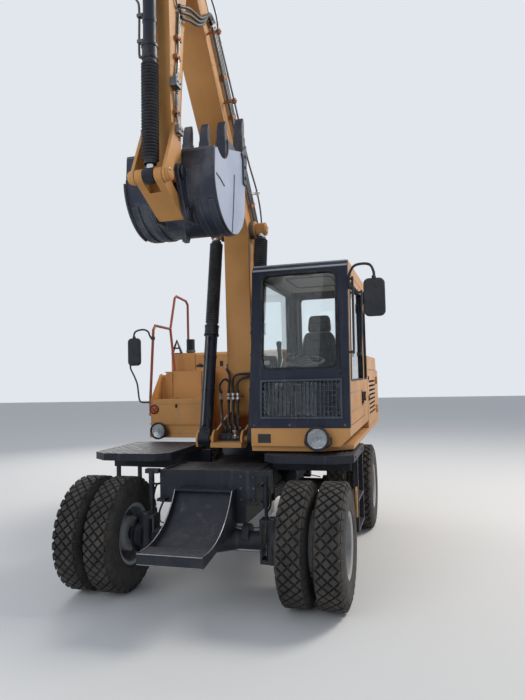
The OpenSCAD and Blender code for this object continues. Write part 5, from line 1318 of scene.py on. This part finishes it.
# Deck, hose manifold and counterweight
pin_caps("deck_pin_caps", "upper", "iron", ((FOOT, 172, 62, 3), (LIFT_FOOT, 331, 46, 2)))
with Kit("deck_seams", "upper", "seal") as k:
    for s in (-1, 1):
        k.block((s * 1244, 1377, 1290), (s * 1246, 1383, 2040))
    k.block((-1242, 1381.5, 1961), (-1100, 1384, 2040))
with Kit("valve_fittings", "upper", "iron", 40, 0.001) as k:
    for x in MANIFOLD_X:
        k.lathe((x, -1250, 1386), Z, [(18, 0), (21, 3), (21, 22), (16, 26)], 6)
        k.bolt((x, -1320.3, 1310), FORE, 11, 12)
        k.lathe((x, -1200, 1315), Y, [(16, 0), (19, 2), (19, 18), (12, 22), (12, 40), (0, 42)], 6)
    k.block((-132, -1300, 1276), (132, -1216, 1290))
    k.lathe((0, -1150, 1275), Z, [(90, 0), (96, 5), (96, 34), (80, 44), (58, 48), (58, 70), (48, 76), (0, 78)], 32)
    for p, q in zip(round_places((0, -1150, 1334), Z, 6, 52), round_places((0, -1150, 1337), Z, 6, 104)):
        k.bar(p, q, 11, 10, 2)
with Kit("valve_bright_fitting", "upper", "bright") as k:
    k.lathe((50, -1322, 1302), (0, -0.3, 1),
            [(16, 0), (22, 4), (22, 34), (15, 40), (15, 62), (20, 66), (20, 80), (0, 84)], 6)
with Kit("weight_details", "upper", "paint", 40, 0.003) as k:
    for x in (-600, 600):
        k.tube([(x + a, 1700, z) for a, z in ((-70, 2018), (-60, 2080), (0, 2110), (60, 2080), (70, 2018))], 14, 10)


# Undercarriage
def beside_ladder(x, y):
    """Whether a place is on the side platform, whose front corners are cut."""
    return 500 < abs(x) < 1245 and y > -1735 + max(0, abs(x) - 1120) * 0.73 - (105 if abs(x) > 580 else 0)


def tubes(name, mat, rows):
    """Tubes on both sides of the chassis; each row is a radius, a number of sides and points."""
    with Kit(name, "chassis", mat, 60) as k:
        for s in (-1, 1):
            for r, n, points in rows:
                k.tube([(s * x, y, z) for x, y, z in points], r, n)


with Kit("platform_grip", "chassis", "dark", 60) as k:
    for x0, x1 in ((-1250, -480), (480, 1250)):
        chequer(k, x0, x1, -1840, -890, 1210, inside=beside_ladder)
    chequer(k, -262, 262, -2795, -2612, 595, 40, 2.2)
    chequer(k, -440, 440, -1975, -1460, 1080, 46, 2.2)
    for x0, x1 in ((-1256, -1102), (1102, 1256)):
        for z in (475, 745):
            chequer(k, x0, x1, -1375, -900, z, 40, 2.2)
with Kit("step_edges", "chassis", "steel", 60) as k:
    chute = [(-2690 + 676.5 * sin(radians(t)), 596 + 676.5 * (1 - cos(radians(t)))) for t in range(0, 61, 4)]
    edge = [(-2796, 597), (-2720, 597)] + chute + [(-2095, 941), (-1998, 941)]
    for x in (-264, 264):
        k.tube([(x, *p) for p in edge], 3, 6, 0)
    for z in (593, 514):
        k.tube([(-268, -2798, z), (268, -2798, z)], 3, 6, 1)
with Kit("nose_details", "chassis", "dark", 40, 0.002) as k:
    k.block((-330, -1994, 835), (-290, -1990, 1060))
    k.plate([(-1995, 830), (-1990, 830), (-1990, 1060), (-1995, 1060)], 300, 440)
    for x in (-440, 440):
        k.block((x - 14, -1996, 1040), (x + 14, -1440, 1092))
    k.block((-470, -1990, 1078), (470, -1972, 1094))
    for x in (-350, 350):
        for z in (1000, 642):
            k.tube([(x, -1980, z), (x, 1175, z)], 5, 6, 1)
    for x in (-384, 350):
        for y in (-1100, -450, 250, 900):
            k.plate([(y - 9, 650), (y + 9, 650), (y + 9, 992), (y - 9, 992)], x, x + 34)
with Kit("chassis_bolts", "chassis", "iron", 30) as k:
    k.bolts([(x, -1995, z) for x in (312, 428) for z in (845, 945, 1045)], FORE, 8, 7)
    k.bolts(round_places((0, 0, 1177.5), Z, 36, 522), Z, 10, 10)
    for x in (-KINGPIN_X, KINGPIN_X):
        for z, d in ((695, 1), (325, -1)):
            k.lathe((x, FRONT_Y, z), (0, 0, d), [(46, 0), (46, 8), (40, 12), (0, 13)], 28)
            k.bolts(round_places((x, FRONT_Y, z + d * 9), Z, 4, 34, pi / 4), (0, 0, d), 6, 6)
    k.bolts(round_places((0, -2122, AXLE_Z), Y, 12, 80), FORE, 7, 7)
    k.bolts(round_places((0, 728, AXLE_Z), Y, 12, 100), Y, 8, 8)
    for s in (-1, 1):
        k.bolts([(s * 1270, y, 1175) for y in (-1620, -1100, -1000)], (s, 0, 0), 8, 7)
with Kit("axle_covers", "chassis", "dark") as k:
    k.lathe((0, -2108, AXLE_Z), FORE, [(96, -20), (96, 8), (88, 14), (60, 20), (50, 34), (0, 38)], 40)
    k.lathe((0, 710, AXLE_Z), Y, [(120, -20), (120, 12), (110, 18), (76, 40), (40, 52), (0, 54)], 40)
    for y in (-688, -620, -258, -330):
        k.lathe((0, y, 500), Y, [(40, 0), (72, 3), (72, 16), (40, 19)], 32)
    for s in (-1, 1):
        k.bar((s * 420, 640, 640), (s * 300, 640, 640), 60, 28, 6)
        k.bar((s * 400, FRONT_Y, 560), (s * 330, FRONT_Y, 560), 88, 32, 6)
tubes("brake_lines", "pipe", (
    (6, 8, [(60, -1960, 640), (120, -1935, 606), (300, -1930, 594), (470, -1930, 600), (496, -1936, 640)]),
    (7, 8, [(352, -1380, 760), (358, -900, 742), (358, 100, 742), (352, 500, 700), (380, 560, 636), (560, 560, 600)]),
    (7, 8, [(352, -1380, 790), (360, -900, 772), (360, 700, 772)])))
tubes("chassis_hoses", "hose", (
    (9, 10, [(538, -2026, 1010), (520, -2050, 1000), (490, -2030, 970), (462, -1960, 960)]),
    (9, 10, [(496, -1936, 640), (510, -1900, 700), (480, -1860, 790), (440, -1840, 806)]),
    (9, 10, [(538, -1972, 740), (560, -1930, 800), (540, -1900, 930), (466, -1880, 950)])))
with Kit("air_tanks", "chassis", "dark") as k:
    for x, x0 in ((-470, -470), (470, 350)):
        k.lathe((x, -820, 850), Y,
                [(0, -14), (50, -8), (84, 12), (90, 30), (90, 470), (84, 488), (50, 508), (0, 514)], 40)
        for y in (-720, -460):
            k.lathe((x, y, 850), Y, [(90, 0), (94, 1), (94, 28), (90, 29)], 40)
            k.block((x0, y, 930), (x0 + 120, y + 28, 948))
with Kit("tow_pin", "chassis", "steel") as k:
    k.bar((0, 1240, 646), (0, 1240, 742), 19, 20, 3)
    k.lathe((0, 1240, 740), Z, [(0, 0), (28, 0), (28, 10), (0, 12)])
for s, name in ((1, "knuckle_left"), (-1, "knuckle_right")):
    with Kit(name + "_parts", name, "dark") as k:
        k.lathe((s * KINGPIN_X, FRONT_Y, AXLE_Z), (s, 0, 0), [(115, 62), (150, 64), (150, 76), (118, 80), (58, 82)], 40)
    with Kit(name + "_bolts", name, "iron", 30) as k:
        k.bolts(round_places((s * (KINGPIN_X + 76), FRONT_Y, AXLE_Z), X, 8, 132), (s, 0, 0), 7, 7)
        k.lathe((s * KINGPIN_X, -1780, 420), Z, [(0, 0), (20, 0), (20, 14), (10, 16), (10, 22), (0, 22)], 6)
with Kit("curl_side_pipe", "curl_barrel", "iron", 60) as k:
    k.tube([(-66, -2981, 4320), (-87, -2980, 4350), (-87, -2972, 4700), (-112, -2968, 4780), (-150, -2964, 4870),
            (-158, -2963, 4980), (-128, -2962, 5070), (-62, -2962, 5120)], 9, 10)
    for z in (4440, 4640):
        k.block((-99, -2992, z - 12), (-52, -2956, z + 12))
with Kit("ladder_guard", "chassis", "paint", 40, 0.003) as k:
    k.plate([(-1436, 600), (-1392, 586), (-1379, 592), (-1379, 868), (-1400, 868), (-1436, 840)], 1232, 1250)
    k.plate([(-1392, 700), (-1378, 700), (-1378, 760), (-1392, 760)], 1220, 1240)
